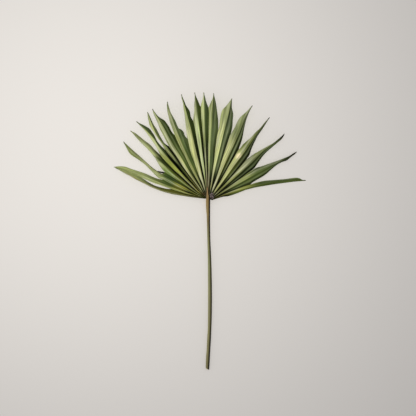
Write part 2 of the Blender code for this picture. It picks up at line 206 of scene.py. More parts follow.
# %% Plan of valleys and segments
HUB = Vector((-4.7, 81.0, 11.0))
RIM_ACROSS, RIM_ALONG, RIM_BELOW, RIM_SLACK = 10.0, 9.0, 5.0, 1.02
FULL_DEPTH_REACH = 130.0
HALF_ARCH = 0.07
VALLEY_RISE = 1.2
REACHES = (33, 51, 82, 108, 136, 164, 192)

# Each valley has its turn round the rim, its bearings at the reaches, its split and its height.
VALLEYS = [
    (-25, [-2.0, 1.8, 8.8], (87, 15.2), -6.0),
    (-12, [6.0, 11.8, 15.4], (99, 28), -4.5),
    (3, [18.8, 24.5, 28.5, 30.6], (103, 62), -2.5),
    (20, [32.2, 36.6, 41.0, 42.9], (90, 87), 0.0),
    (40, [48.5, 52.0, 55.2, 56.2], (72, 111), 2.5),
    (60, [64.5, 66.2, 68.5, 69.5, 70.0], (51, 142), 4.5),
    (75, [77.8, 79.5, 80.2, 81.2, 81.6], (24, 156), 5.5),
    (90, [90.0, 90.0, 89.9, 89.9, 89.5, 89.5, 89.3], (1, 208), 7.0),
    (98, [96.6, 95.4, 95.0, 95.0, 94.8, 94.8, 94.8], (-17, 210), 7.0),
    (105, [102.2, 101.3, 101.4, 101.2, 101.0, 100.9], (-35, 177), 6.5),
    (118, [114.0, 113.5, 112.1, 111.5], (-48, 135), 5.0),
    (131, [125.2, 123.0, 121.2, 120.0, 119.3], (-78, 144), 4.0),
    (142, [136.2, 132.8, 130.4, 129.0, 128.3], (-92, 118), -2.0),
    (150, [143.0, 138.8, 135.4, 134.0], (-100, 109), -4.5),
    (157, [152.2, 146.4, 142.8, 141.6, 139.8], (-112, 98), -1.5),
    (163, [161.2, 155.5, 152.0, 150.8], (-101, 57), -2.5),
    (168.5, [170.5, 165.5, 162.2], (-105, 39), -3.5),
    (174, [176.5, 173.2], (-86, 17.4), -4.0),
    (180, [184.3, 179.8, 176.4], (-89, 7), -3.5),
]

# Each segment has its name, its pleat for each millimetre of reach, its tip, the tip's height, how
# soon the free part drops, its free edges on the right and the left, and its ridge's bearings.
SEGMENTS = [
    ("right_1", 0.04, (230, 38), -10.6, 2.0,
     [(110, 21), (133, 25), (157, 29), (180, 32), (204, 35), (222, 36.5)],
     [(115, 33), (133, 37), (157, 39), (180, 41), (204, 44), (214, 43), (222, 39)],
     [1.5, 6.8, 11.4, 12.4, 12.9, 12.5, 11.5]),
    ("right_2", 0.06, (208, 105), -6.0, 1.3,
     [(106, 34), (118, 41), (130, 48), (139, 55), (148, 63), (160, 73), (172, 80), (184, 84.2), (190.3, 89),
      (195.8, 93.6), (202.6, 98.4), (206.2, 102)],
     [(112, 67), (126, 71), (140, 76), (157, 82), (176, 89), (190, 95), (201, 102)],
     [13.2, 19.6, 23.0, 24.6, 25.4, 25.7, 25.8]),
    ("right_3", 0.08, (179.3, 147), -2.0, 1.0,
     [(109, 67), (116, 77), (125, 90), (134, 101), (146, 112), (158, 122), (166, 128.7), (171.6, 133.4),
      (175.2, 138), (178, 143)],
     [(96, 91), (105, 98), (117, 105), (131, 113), (143, 119.8), (151, 124.2), (158.4, 129), (163.7, 133.4),
      (169.2, 138), (174, 142.7), (177, 146)],
     [25.5, 31.6, 35.5, 36.8, 38.0, 39.2, 39.2]),
    ("right_4", 0.08, (144.4, 185.4), 2.0, 1.0,
     [(97, 97), (101, 109), (106, 121), (111, 131.5), (116, 141.5), (123, 151.5), (130.4, 162.5),
      (139.4, 177)],
     [(76, 114), (82, 122), (91, 130), (101, 139), (112, 151), (122.8, 161), (132.2, 173), (139.6, 181)],
     [40.0, 45.2, 48.8, 49.9, 50.7, 51.5, 52.0]),
    ("right_5", 0.08, (104, 213), 5.0, 1.0,
     [(73, 114), (77, 125), (81, 139), (84, 156), (87, 170), (90, 181), (94.5, 193), (97.2, 199),
      (99.6, 203.6), (101.9, 208.3)],
     [(53, 146), (57, 152), (63, 163), (68, 174), (75, 185), (85.3, 194.2), (90.4, 198.9), (94.9, 203.6),
      (99, 208.3)],
     [55.8, 60.2, 62.6, 63.1, 63.5, 63.8, 64.2]),
    ("right_6", 0.09, (56, 229), 8.0, 1.0,
     [(54, 149), (57, 163), (58, 179), (59, 193), (56, 207), (56, 221)],
     [(26, 163), (28, 179), (30, 191), (33.5, 202), (40.4, 209.5), (45.5, 215.5), (51.5, 223.5)],
     [73.0, 75.2, 75.9, 76.1, 76.2, 76.2, 76.0]),
    ("right_7", 0.10, (13, 241), 9.0, 1.0,
     [(24, 174), (23, 186), (21, 202), (19, 216), (16, 230)],
     [(4, 214), (7, 221), (11, 230)],
     [85.0, 85.6, 87.0, 87.3, 87.5, 87.1, 87.1]),
    ("centre", 0.11, (-10, 243), 8.0, 1.0,
     [(0, 211), (-4, 221), (-7, 233)],
     [(-15, 219), (-12, 230)],
     [93.6, 92.9, 92.8, 92.6, 92.7, 92.6, 92.5]),
    ("left_1", 0.11, (-31, 243), 9.0, 1.0,
     [(-19, 213), (-23, 223), (-28, 234)],
     [(-33, 191), (-32, 202), (-32, 216), (-31, 230)],
     [99.2, 98.0, 97.4, 97.4, 97.2, 97.2, 97.2]),
    ("left_2", 0.10, (-62, 239), 7.0, 1.0,
     [(-40, 186), (-42, 197), (-45, 203.6), (-48.3, 208.3), (-51.4, 213), (-54.2, 220), (-56.3, 225),
      (-58.3, 229.5)],
     [(-51, 156), (-53, 174), (-55, 193), (-57, 204), (-57.8, 215), (-59, 220), (-59.9, 224.6), (-61.7, 230)],
     [106.8, 106.0, 105.1, 104.9, 104.4, 104.2, 104.3]),
    ("left_3", 0.09, (-95, 222), 4.0, 1.0,
     [(-54, 142), (-57, 151), (-63, 157), (-69, 160), (-76, 176), (-82, 187), (-89, 200), (-92, 212)],
     [(-83, 158), (-89, 174), (-92, 186), (-95, 198), (-96, 214)],
     [120.0, 118.0, 117.1, 116.5, 116.1, 115.5, 114.8]),
    ("left_4", 0.09, (-130, 205), 4.0, 1.0,
     [(-84, 150), (-91, 163), (-97, 172), (-103, 179), (-110, 183), (-117, 188), (-124, 197)],
     [(-98, 130), (-105, 144), (-112, 157), (-117, 170), (-124, 186), (-128, 195)],
     [130.8, 128.3, 126.2, 124.8, 124.1, 123.5, 122.8]),
    ("left_5", 0.07, (-142, 198), -4.5, 1.3,
     [(-101, 124), (-106, 131), (-113, 143), (-120, 157), (-127, 168), (-134, 183), (-138.5, 193)],
     [(-102, 112), (-110, 126), (-120, 140), (-128, 152.5), (-136, 165), (-139, 177), (-141, 186)],
     [139.6, 135.8, 132.9, 131.5, 130.7, 130.8, 129.5]),
    ("left_6", 0.09, (-168, 176), -2.0, 1.0,
     [(-112, 121), (-119, 130), (-125, 142), (-131, 151), (-136, 158), (-143, 163), (-152, 168),
      (-161, 172)],
     [(-122, 118), (-129, 128), (-136, 138), (-147, 153), (-159, 166)],
     [147.5, 142.2, 138.6, 136.9, 135.7, 134.6, 133.0]),
    ("left_7", 0.07, (-182, 154), -4.0, 1.0,
     [(-124, 109), (-136, 122), (-147, 130), (-159, 140), (-171, 149)],
     [(-110, 67), (-117, 78), (-124, 90), (-133, 102), (-145, 115), (-157, 126), (-168, 138), (-178, 150)],
     [156.8, 151.2, 147.8, 146.0, 143.4, 140.9, 139.6]),
    ("left_8", 0.05, (-198, 129), -6.0, 1.3,
     [(-105, 54.2), (-110, 54), (-117, 58.5), (-131, 68.5), (-145, 81), (-159, 94), (-173, 106), (-185, 117),
      (-194, 125)],
     [(-115, 43), (-124, 51), (-136, 63), (-147, 74), (-164, 87), (-178, 96), (-185, 103), (-192, 116),
      (-197, 125)],
     [165.8, 160.2, 157.0, 155.4, 154.8, 152.4, 150.0]),
    ("left_9", 0.05, (-221, 69), -10.8, 2.2,
     [(-119, 42), (-136, 49), (-147, 54), (-168, 61), (-183, 66), (-194, 70), (-206, 71), (-215, 70.5)],
     [(-94, 20.4), (-102, 23.2), (-112, 26.8), (-124, 30.6), (-136, 35.4), (-145, 39.4), (-154, 43.6),
      (-170, 50), (-190, 58), (-208, 65)],
     [173.5, 169.6, 165.8, 164.0, 163.0, 161.7, 161.4]),
    ("left_10", 0.05, (-217, 67), -4.5, 1.0,
     [(-94, 17.9), (-102, 19.3), (-112, 21.9), (-124, 25.5), (-136, 31.6), (-144, 36.6), (-152, 42),
      (-159, 46), (-171, 52), (-182, 58), (-194, 62.5)],
     [(-101, 10), (-112, 13.5), (-124, 18), (-136, 23), (-147, 29), (-159, 35), (-171, 41), (-183, 48),
      (-194, 53.5), (-206, 60.5)],
     [180.2, 176.8, 173.2, 171.9, 169.5, 166.6, 164.3]),
]
print(len(SEGMENTS), "segments between", len(VALLEYS), "valleys")

# %% [markdown]
# ## Smooth lines
# A few points are enough for a leaf's edge if a smooth curve runs through them. Each stretch of
# this curve is a cubic that passes through its two points and heads for the next ones, so the list
# stays readable and can be checked against a ruler.

# %% Curves through points
CURVE_STEPS = 8


def smooth_line(points, steps=CURVE_STEPS):
    """A smooth cubic curve through the points, as closely spaced vectors."""
    points = [Vector(p) for p in points]
    if len(points) < 3:
        return points
    ends = [2 * points[0] - points[1], *points, 2 * points[-1] - points[-2]]
    line = []
    for a, b, c, d in zip(ends, ends[1:], ends[2:], ends[3:]):
        for step in range(steps):
            t = step / steps
            bend = (2 * a - 5 * b + 4 * c - d) * t**2
            twist = (3 * b - a - 3 * c + d) * t**3
            line.append(0.5 * (2 * b + (c - a) * t + bend + twist))
    line.append(points[-1])
    return line


def along(line, count):
    """Count + 1 points at equal distances along a line."""
    lengths = [0.0]
    for a, b in zip(line, line[1:]):
        lengths.append(lengths[-1] + (b - a).length)
    found, i = [], 0
    for k in range(count + 1):
        want = lengths[-1] * k / count
        while i < len(line) - 2 and lengths[i + 1] < want:
            i += 1
        t = (want - lengths[i]) / (lengths[i + 1] - lengths[i])
        found.append(line[i].lerp(line[i + 1], t))
    return found


def at_reach(line, reach):
    """The point of a line at this distance from the hub."""
    for a, b in zip(line, line[1:]):
        if b.length >= reach:
            t = (reach - a.length) / (b.length - a.length)
            return a.lerp(b, max(0.0, min(1.0, t)))
    return line[-1]


def on_rim(turn):
    """The point of the hub's oval rim this far round it."""
    angle = math.radians(turn)
    return (RIM_ACROSS * math.cos(angle), RIM_ALONG * math.sin(angle) - RIM_BELOW)


def by_bearing(bearings):
    """Plan points at the standard reaches."""
    angles = [math.radians(bearing) for bearing in bearings]
    return [(reach * math.cos(angle), reach * math.sin(angle)) for reach, angle in zip(REACHES, angles)]


print("first valley, from the hub outwards", [tuple(round(v) for v in p) for p in by_bearing(VALLEYS[0][1])])

# %% [markdown]
# ## One folded segment
# The solid has four columns and eighteen rows to a segment. The fine blade has twenty-four columns
# and ninety-six rows on the same lines. Two columns lie close to the ridge and to each valley, so
# that the folds stay crisp under smooth shading, and those between rise and fall a little, as the
# parallel veins of a palm leaf do.

# %% Rows of one segment
HALF_COLUMNS = 12
FUSED_ROWS = 54
FREE_ROWS = 42
CREASE = 0.45
MOST_CREASE_SHARE = 0.14
SMALLEST_HALF = 0.05
TIP_WIDTH, TIP_END_SHARE = 2.2, 0.4


def edge_rows(valley, free, tip, tip_height, drop):
    """One edge of a segment from the hub to the tip, in plan and height."""
    turn, bearings, split, height = valley
    plan = along(smooth_line([on_rim(turn), *by_bearing(bearings), split]), FUSED_ROWS)
    heights = [height * (row / FUSED_ROWS) ** VALLEY_RISE for row in range(FUSED_ROWS + 1)]
    plan += along(smooth_line([plan[-1], *free, tip]), FREE_ROWS)[1:]
    for row in range(1, FREE_ROWS + 1):
        fallen = 1 - (1 - row / FREE_ROWS) ** drop
        heights.append(height + (tip_height - height) * fallen)
    return plan, heights


def blunt_tip(left, right, row):
    """Keep the strip as wide as a real tip until its last row."""
    width = (left[row] - right[row]).length
    if row <= FUSED_ROWS or width >= TIP_WIDTH:
        return
    middle = (left[row] + right[row]) / 2
    forward = middle - (left[row - 1] + right[row - 1]) / 2
    across = Vector((-forward.y, forward.x)).normalized()
    half = TIP_WIDTH / 2 * (1 if row < FUSED_ROWS + FREE_ROWS else TIP_END_SHARE)
    left[row], right[row] = middle + across * half, middle - across * half


def segment_rows(index):
    """Rows of left edge, ridge and right edge of one segment, with the pleat's depth and reach."""
    _, pleat, tip, tip_height, drop, right_free, left_free, ridge = SEGMENTS[index]
    right, right_z = edge_rows(VALLEYS[index], right_free, tip, tip_height, drop)
    left, left_z = edge_rows(VALLEYS[index + 1], left_free, tip, tip_height, drop)
    turn = (VALLEYS[index][0] + VALLEYS[index + 1][0]) / 2
    crest = smooth_line([on_rim(turn), *by_bearing(ridge), tip])
    split_width = (left[FUSED_ROWS] - right[FUSED_ROWS]).length
    split_reach = (left[FUSED_ROWS].length + right[FUSED_ROWS].length) / 2
    rows = []
    for row in range(FUSED_ROWS + FREE_ROWS + 1):
        blunt_tip(left, right, row)
        width = (left[row] - right[row]).length
        reach, taper = (left[row].length + right[row].length) / 2, 1.0
        if row > FUSED_ROWS:
            share = (row - FUSED_ROWS) / FREE_ROWS
            reach = split_reach + (Vector(tip).length - split_reach) * share
            taper = min(1.0, width / split_width)
        depth = pleat * FULL_DEPTH_REACH * math.tanh(reach / FULL_DEPTH_REACH) * taper
        middle = at_reach(crest, reach) if row else crest[0]
        rows.append({
            "left": Vector((*left[row], left_z[row])),
            "middle": Vector((*middle, (left_z[row] + right_z[row]) / 2 + depth)),
            "right": Vector((*right[row], right_z[row])),
            "depth": depth,
            "width": width,
            "reach": reach,
            "free": max(0.0, (row - FUSED_ROWS) / FREE_ROWS),
        })
    return rows


def half_shares(half_width):
    """Where the columns of one half lie, from 0 in the valley to 1 on the ridge."""
    crease = min(CREASE / max(half_width, SMALLEST_HALF), MOST_CREASE_SHARE)
    inner = [crease + (1 - 2 * crease) * k / (HALF_COLUMNS - 2) for k in range(HALF_COLUMNS - 1)]
    return [0.0, *inner, 1.0]


print("columns of a 6 mm half", [round(share, 2) for share in half_shares(6)])

# %% [markdown]
# ## Colour of the blade
# A dried palm leaf isn't one green. The half of a fold that faces the light is straw and
# yellow-green, the other half deep green with a paler stripe, and the contrast between the two is
# partly the leaf's own colour and partly painted light and shade. The valleys are painted nearly
# black as shade, the ribs and the inner hub have turned tan and brown, and the hub also carries
# painted shade. These changes follow the folds, so they are worked out from the place on the fold
# and stored in the mesh as a colour attribute.
# The shader then adds the fine streaks. First comes the palette: the greens, then the pale marks,
# and last the browns of the hub and of the dry tips.

# %% Palette
PALE_STRAW = linear((186, 193, 136))
PALE_LIME = linear((176, 191, 130))
PALE_GREEN = linear((174, 179, 122))
PALE_SHADE = linear((168, 176, 126))
SOFT_GREEN = linear((142, 149, 90))
SAGE = linear((148, 158, 94))
LIGHT_GREY_GREEN = linear((156, 167, 110))
GREY_GREEN = linear((137, 146, 100))
HUSK_GREEN = linear((128, 138, 86))
MID_SAGE = linear((120, 130, 84))
OLIVE_GREEN = linear((146, 154, 76))
YELLOW_OLIVE = linear((142, 151, 74))
HUSK_OLIVE = linear((128, 126, 78))
FRESH_GREEN = linear((104, 119, 44))
DULL_GREEN = linear((111, 121, 68))
LEAF_GREEN = linear((84, 99, 55))
LIGHT_MOSS = linear((146, 162, 104))
BLUE_MOSS = linear((124, 141, 90))
MOSS = linear((108, 127, 79))
FERN = linear((120, 141, 72))
OLIVE_SHADE = linear((88, 98, 40))
OLIVE_DARK = linear((94, 96, 34))
DEEP_GREEN = linear((87, 102, 50))
DUSK_GREEN = linear((75, 92, 42))
DARK_GREEN = linear((55, 67, 27))
BLACK_GREEN = linear((29, 39, 12))
TIP_GREEN = linear((86, 100, 44))
# Painted shade: the near-black of the valleys and deep folds, also the darkest shaded tone.
NEAR_BLACK = linear((9, 12, 3))
BLUE_GREEN = linear((64, 90, 50))
BRIGHT_GREEN = linear((104, 132, 44))
UNDERSIDE = linear((150, 160, 118))
PALE_STRIPE = linear((180, 194, 150))
PALE_FLECK = linear((222, 222, 190))
CREAM = linear((222, 208, 172))
OLIVE = linear((146, 142, 52))
# The hub's own brown, darkened as painted shade.
HUB_BROWN_SHADE = linear((66, 60, 12))
HUB_SHADE = linear((11, 10, 2))
HUB_SMEAR = linear((104, 94, 70))
SHOULDER_TAN = linear((118, 92, 54))
RIB_YELLOW = linear((208, 200, 112))
# The torn strip's colour: painted shade, nearly black.
CURL_SHADE = linear((12, 10, 6))
DRY_TIP = linear((50, 44, 32))
print("the darkest green in linear values", [round(value, 4) for value in NEAR_BLACK])

# %% [markdown]
# ## Where each segment has its colours
# No two segments of a real leaf have dried alike, and each faces the light in its own way. Each has
# its own four tones, its own colour mixed with painted light and shade, and small tables tell where
# it differs from the usual one. A few blotches of other colours lie across the folds, and the
# near-black ones are painted shade.

# %% Tones and changes of each segment
# Four tones of each segment: the sunny half's inner and outer one, then the shaded half's. The gap
# between the sunny and the shaded tones is partly the leaf's own colour and partly painted light
# and shade.
TONES = {
    "right_1": (OLIVE_GREEN, LEAF_GREEN, FRESH_GREEN, DEEP_GREEN),
    "right_2": (SAGE, LEAF_GREEN, DEEP_GREEN, DUSK_GREEN),
    "right_3": (SOFT_GREEN, MID_SAGE, DARK_GREEN, DUSK_GREEN),
    "right_4": (PALE_GREEN, DULL_GREEN, OLIVE_SHADE, DARK_GREEN),
    "right_5": (PALE_GREEN, MID_SAGE, OLIVE_SHADE, DEEP_GREEN),
    "right_6": (PALE_STRAW, GREY_GREEN, BLUE_MOSS, MOSS),
    "right_7": (LIGHT_GREY_GREEN, HUSK_GREEN, MOSS, BLUE_MOSS),
    "centre": (MID_SAGE, LIGHT_GREY_GREEN, NEAR_BLACK, MOSS),
    "left_1": (PALE_LIME, GREY_GREEN, BLACK_GREEN, DEEP_GREEN),
    "left_2": (PALE_GREEN, GREY_GREEN, BLACK_GREEN, DUSK_GREEN),
    "left_3": (SOFT_GREEN, GREY_GREEN, FERN, MOSS),
    "left_4": (PALE_GREEN, GREY_GREEN, FERN, DUSK_GREEN),
    "left_5": (DARK_GREEN, SAGE, BLACK_GREEN, LIGHT_MOSS),
    "left_6": (YELLOW_OLIVE, LIGHT_GREY_GREEN, NEAR_BLACK, MOSS),
    "left_7": (FRESH_GREEN, LIGHT_GREY_GREEN, OLIVE_SHADE, PALE_SHADE),
    "left_8": (FRESH_GREEN, HUSK_GREEN, DEEP_GREEN, PALE_SHADE),
    "left_9": (OLIVE_GREEN, LIGHT_GREY_GREEN, OLIVE_SHADE, LIGHT_GREY_GREEN),
    "left_10": (OLIVE_DARK, HUSK_OLIVE, OLIVE_DARK, LIGHT_GREY_GREEN),
}

# What isn't listed in a table has the usual value. First, how far out a sunny half turns green.
GREEN_FROM = {"right_1": 85, "right_2": 85, "right_3": 80, "right_4": 108, "right_5": 115, "right_6": 145,
              "right_7": 165, "centre": 85, "left_1": 160, "left_2": 145, "left_3": 135, "left_5": 95,
              "left_6": 115, "left_8": 122}
USUAL_GREEN_FROM, GREENING = 105, 45

# How brown a segment is at the hub, with painted shade in it, and how far out this ends.
HUB_BROWN_SHADES = {"right_1": (0.85, 78), "right_4": (0.25, 66), "right_6": (0.4, 80), "right_7": (0.8, 92),
             "centre": (0.7, 92), "left_2": (0.55, 66), "left_5": (0.6, 66), "left_6": (0.7, 75),
             "left_3": (0.1, 66), "left_7": (0.3, 80), "left_8": (0.3, 75), "left_9": (0.6, 80),
             "left_10": (0.25, 80)}
USUAL_HUB_BROWN_SHADE = (0.32, 66)

# How strong a shaded half's pale stripe is, and its bands of painted shade beside the valley and the ridge.
STRIPES = {"right_7": 0.25, "right_6": 0.9, "right_5": 0.6, "right_4": 0.45, "right_3": 0.3, "right_2": 0.2,
           "left_3": 0.2, "left_4": 0.25}
VALLEY_SHADE_BANDS = {"right_1": 0.15, "right_2": 0.75, "right_3": 0.95, "right_4": 1.0, "right_5": 0.95,
                "right_6": 0.75, "right_7": 0.7, "left_1": 0.85, "left_2": 0.5, "left_3": 0.25,
                "left_4": 0.3, "left_5": 0.95, "left_6": 0.95, "left_7": 0.95, "left_9": 0.1, "left_10": 0.15}
USUAL_VALLEY_SHADE_BAND = 0.45
RIDGE_SHADE_BANDS = {"right_3": 0.5, "right_5": 0.6, "right_6": 0.35}

# How yellow the rib on a ridge is.
YELLOW_RIBS = {"left_6": 0.5, "left_7": 0.7, "left_8": 0.7, "left_9": 0.7, "left_5": 0.5, "left_4": 0.3}
USUAL_YELLOW_RIB = 0.25

# Where in the free part, from 0 at the split to 1 at the tip, a sunny half turns green again, and
# where a tip turns dark and dry.
TIPS_FROM = {"centre": 0.2, "left_1": 0.3, "left_2": 0.5, "right_7": 0.4}
USUAL_TIP_FROM = 0.6
DARK_TIPS = {"right_2": 0.55, "right_3": 0.62, "right_4": 0.9, "left_4": 0.9}

# Blotches of another colour: their place from the hub, how far they reach along and across the
# segment there, their colour and their strength.
BLOTCHES = [
    ((71, 95), (10, 8), CREAM, 0.75),
    ((-1, 34), (26, 7), HUB_SMEAR, 0.55),
    ((-9, 6), (7, 5), SHOULDER_TAN, 0.7),
    ((-66, 22), (26, 8), OLIVE, 0.5),
    ((-94, 56), (26, 9), BRIGHT_GREEN, 0.85),
    ((-95, 31), (22, 14), BLUE_GREEN, 0.5),
    ((-92, 44), (22, 9), BLUE_GREEN, 0.6),
    ((-45, 100), (40, 12), BLUE_GREEN, 0.3),
    ((-103, 79), (34, 6), DARK_GREEN, 0.9),
    ((-122, 89), (20, 6), DARK_GREEN, 0.6),
    ((-117, 56), (15, 5), PALE_SHADE, 0.6),
    # Painted shade: near-black in the deep folds on either side of the fifth left segment.
    ((-86, 107), (38, 3.4), NEAR_BLACK, 0.95),
    ((-75, 92), (34, 3.2), NEAR_BLACK, 0.7),
    ((-81, 82), (32, 4.5), NEAR_BLACK, 0.9),
]
print(len(TONES), "segments with tones and", len(BLOTCHES), "blotches")

# %% [markdown]
# ## The colour of one place
# Every change is a soft step between two limits. Across a fold the limits are shares, from 0 in
# the valley to 1 on the ridge. Along it they are millimetres from the hub. Close to the hub the
# folds are too narrow to show much, so the shade of the furrows covers most of the tones there.

# %% Colour of a place on the fold
RIDGE_DARKENS, RIDGE_SHADE = (0.75, 1.0), 0.25
STEEP_PART, STEEP_SHADE, STEEP_ENDS = (0.55, 1.0), 0.7, (30, 75)
HUB_BROWN_SHADE_FROM = 28
SHADED_HALF_TURNS = (90, 165)
STRIPE_BEGINS = (40, 80)
STRIPE_PLACE, STRIPE_SHIFT, STRIPE_SHIFTS, STRIPE_HALF = 0.4, 0.15, (85, 135), 0.17
RIDGE_BAND = (0.66, 0.94)
BAND_FADE, BAND_FADES = 0.7, (120, 200)
BAND_ACROSS = {"right": (-0.03, 0.4), "left": (-0.03, 0.65)}
FURROW_SHADE, FURROW_ENDS = 0.96, (36, 80)
BLOTCH_EDGE = (0.4, 1.0)
NARROWEST_LINE = 0.1
VALLEY_LINE, VALLEY_LINE_SHADE = {"left": 0.5, "right": 0.9}, 0.75
RIB_HALF = {"left": 0.7, "right": 0.3}
HUB_SHADE_ENDS, HUB_SHADE_STRENGTH = (11, 26), 0.85
YELLOW_BEGINS, YELLOW_FADE, YELLOW_FADES = (12, 24), 0.9, (55, 105)
GREEN_TIP, GREEN_TIP_ENDS = 0.7, 0.95
DARK_TIP = 0.92
DRY_END, DRY_END_FROM = 0.5, 0.93


def mixed(a, b, share):
    """Two colours in proportion, with the share kept between 0 and 1."""
    share = max(0.0, min(1.0, share))
    return [x + (y - x) * share for x, y in zip(a, b)]


def ramp(value, low, high):
    """0 below low, 1 above high and a smooth step between them."""
    t = max(0.0, min(1.0, (value - low) / (high - low)))
    return t * t * (3 - 2 * t)


def hump(value, low, high):
    """1 in the middle between low and high, falling to 0 at both."""
    middle, half = (low + high) / 2, (high - low) / 2
    return max(0.0, 1 - ((value - middle) / half) ** 2)


def sunny_colour(name, share, reach):
    """The tone of a segment's left half, which faces the light."""
    near, far = TONES[name][:2]
    start = GREEN_FROM.get(name, USUAL_GREEN_FROM)
    colour = mixed(near, far, ramp(reach, start, start + GREENING))
    colour = mixed(colour, DARK_GREEN, RIDGE_SHADE * ramp(share, *RIDGE_DARKENS))
    steep = STEEP_SHADE * ramp(share, *STEEP_PART)
    colour = mixed(colour, HUB_SHADE, steep * (1 - ramp(reach, *STEEP_ENDS)))
    # Near the hub, the leaf's own brown darkened as painted shade.
    fade, end = HUB_BROWN_SHADES.get(name, USUAL_HUB_BROWN_SHADE)
    return mixed(colour, HUB_BROWN_SHADE, fade * (1 - ramp(reach, HUB_BROWN_SHADE_FROM, end)))


def shaded_colour(name, share, reach):
    """The tone of a segment's right half: painted shade by the valley and a pale stripe above it."""
    near, far = TONES[name][2:]
    colour = mixed(near, far, ramp(reach, *SHADED_HALF_TURNS))
    outwards = ramp(reach, *STRIPE_BEGINS)
    middle = STRIPE_PLACE + STRIPE_SHIFT * ramp(reach, *STRIPE_SHIFTS)
    stripe = STRIPES.get(name, 0.0) * hump(share, middle - STRIPE_HALF, middle + STRIPE_HALF)
    colour = mixed(colour, PALE_STRIPE, stripe * outwards)
    # Bands of painted shade beside the ridge and beside the valley.
    colour = mixed(colour, NEAR_BLACK, RIDGE_SHADE_BANDS.get(name, 0.0) * hump(share, *RIDGE_BAND) * outwards)
    band = VALLEY_SHADE_BANDS.get(name, USUAL_VALLEY_SHADE_BAND) * (1 - BAND_FADE * ramp(reach, *BAND_FADES))
    across = BAND_ACROSS["right" if name.startswith("right") else "left"]
    colour = mixed(colour, NEAR_BLACK, band * hump(share, *across))
    return mixed(colour, HUB_SHADE, FURROW_SHADE * (1 - ramp(reach, *FURROW_ENDS)))


def blotched(colour, place):
    """The colour with any blotch that covers the place."""
    for (x, y), (long, wide), tone, strength in BLOTCHES:
        outwards = Vector((x, y)).normalized()
        offset = Vector((place.x - x, place.y - y))
        far = math.hypot(offset.dot(outwards) / long, offset.cross(outwards) / wide)
        colour = mixed(colour, tone, strength * (1 - ramp(far, *BLOTCH_EDGE)))
    return colour


def fold_colour(name, side, share, row, place):
    """The blade's own colour at a place: share runs from 0 in the valley to 1 on the ridge."""
    reach, free = row["reach"], row["free"]
    half = sunny_colour if side == "left" else shaded_colour
    colour = blotched(half(name, share, reach), place)
    half_width = row["width"] / 2
    line = 1 - ramp(share * half_width, NARROWEST_LINE, VALLEY_LINE[side])
    colour = mixed(colour, NEAR_BLACK, VALLEY_LINE_SHADE * line * (1 - free))
    rib = 1 - ramp((1 - share) * half_width, NARROWEST_LINE, RIB_HALF[side])
    shade = HUB_SHADE_STRENGTH * (1 - ramp(reach, *HUB_SHADE_ENDS))
    colour = mixed(colour, HUB_SHADE, shade * (1 - rib))
    yellow = YELLOW_RIBS.get(name, USUAL_YELLOW_RIB) * ramp(reach, *YELLOW_BEGINS)
    colour = mixed(colour, RIB_YELLOW, yellow * (1 - YELLOW_FADE * ramp(reach, *YELLOW_FADES)) * rib)
    if side == "left":
        green = ramp(free, TIPS_FROM.get(name, USUAL_TIP_FROM), GREEN_TIP_ENDS)
        colour = mixed(colour, TIP_GREEN, GREEN_TIP * green)
    if name in DARK_TIPS:
        colour = mixed(colour, DRY_TIP, DARK_TIP * ramp(free, DARK_TIPS[name], 1.0))
    return mixed(colour, DRY_TIP, DRY_END * ramp(free, DRY_END_FROM, 1.0))


print("the step between", STEEP_ENDS, "mm is", round(ramp(50, *STEEP_ENDS), 2), "at 50 mm")

# %% [markdown]
# ## Building the blade
# Each segment starts as a flat grid whose vertices are moved onto the folded surface. A little
# noise keeps the folds from looking pressed, and the free edges flutter more than the rest. Each
# vertex also gets its colour, with its painted light and shade, how much the pale streaks lighten
# it where its half faces the light, how thick the sheet is there when measured straight down, and
# its place in the grain.

# %% Points and colours of one segment
SHEET = 0.45
MOST_VERTICAL_SHEET = 1.4
NARROWEST_FOLD = 0.4
VEIN_RELIEF = 0.05
RIB_RELIEF = 0.22
RIPPLE = 0.55
RIPPLE_SIZE = 26.0
EDGE_RIPPLE = 0.7
EDGE_RIPPLE_SIZE = 9.0
FLUTTER_SEED = 5
LOOSE_FROM = 0.15
FULL_VEIN_HALF = 3.0
GRAIN_PITCH = 40
SUNNY_ACROSS = (-0.2, 0.95)
SUNNY_TONES = (0.02, 0.2)


def fold_point(row, column, seed):
    """Where one vertex of a segment lies, and its side, share and distance from the ridge."""
    side = "left" if column <= HALF_COLUMNS else "right"
    step = column if side == "left" else 2 * HALF_COLUMNS - column
    half_width = row["width"] / 2
    share = half_shares(half_width)[step]
    point = row[side].lerp(row["middle"], share)
    bulge = math.sin(math.pi * share)
    point.z += row["depth"] * HALF_ARCH * bulge
    full = min(1.0, half_width / FULL_VEIN_HALF)
    if 1 < step < HALF_COLUMNS - 1:
        point.z += VEIN_RELIEF * full * (1 if step % 2 else -1)
    if step == HALF_COLUMNS:
        point.z += RIB_RELIEF * full
    wave = noise.noise(Vector((point.x / RIPPLE_SIZE, point.y / RIPPLE_SIZE, seed)))
    point.z += RIPPLE * full * bulge * wave
    loose = (1 - share) * ramp(row["free"], 0.0, LOOSE_FROM) * full
    spot = (point.x / EDGE_RIPPLE_SIZE, point.y / EDGE_RIPPLE_SIZE, seed + FLUTTER_SEED)
    point.z += EDGE_RIPPLE * loose * noise.noise(Vector(spot))
    return point, side, share, (share - 1) * half_width * (1 if side == "left" else -1)


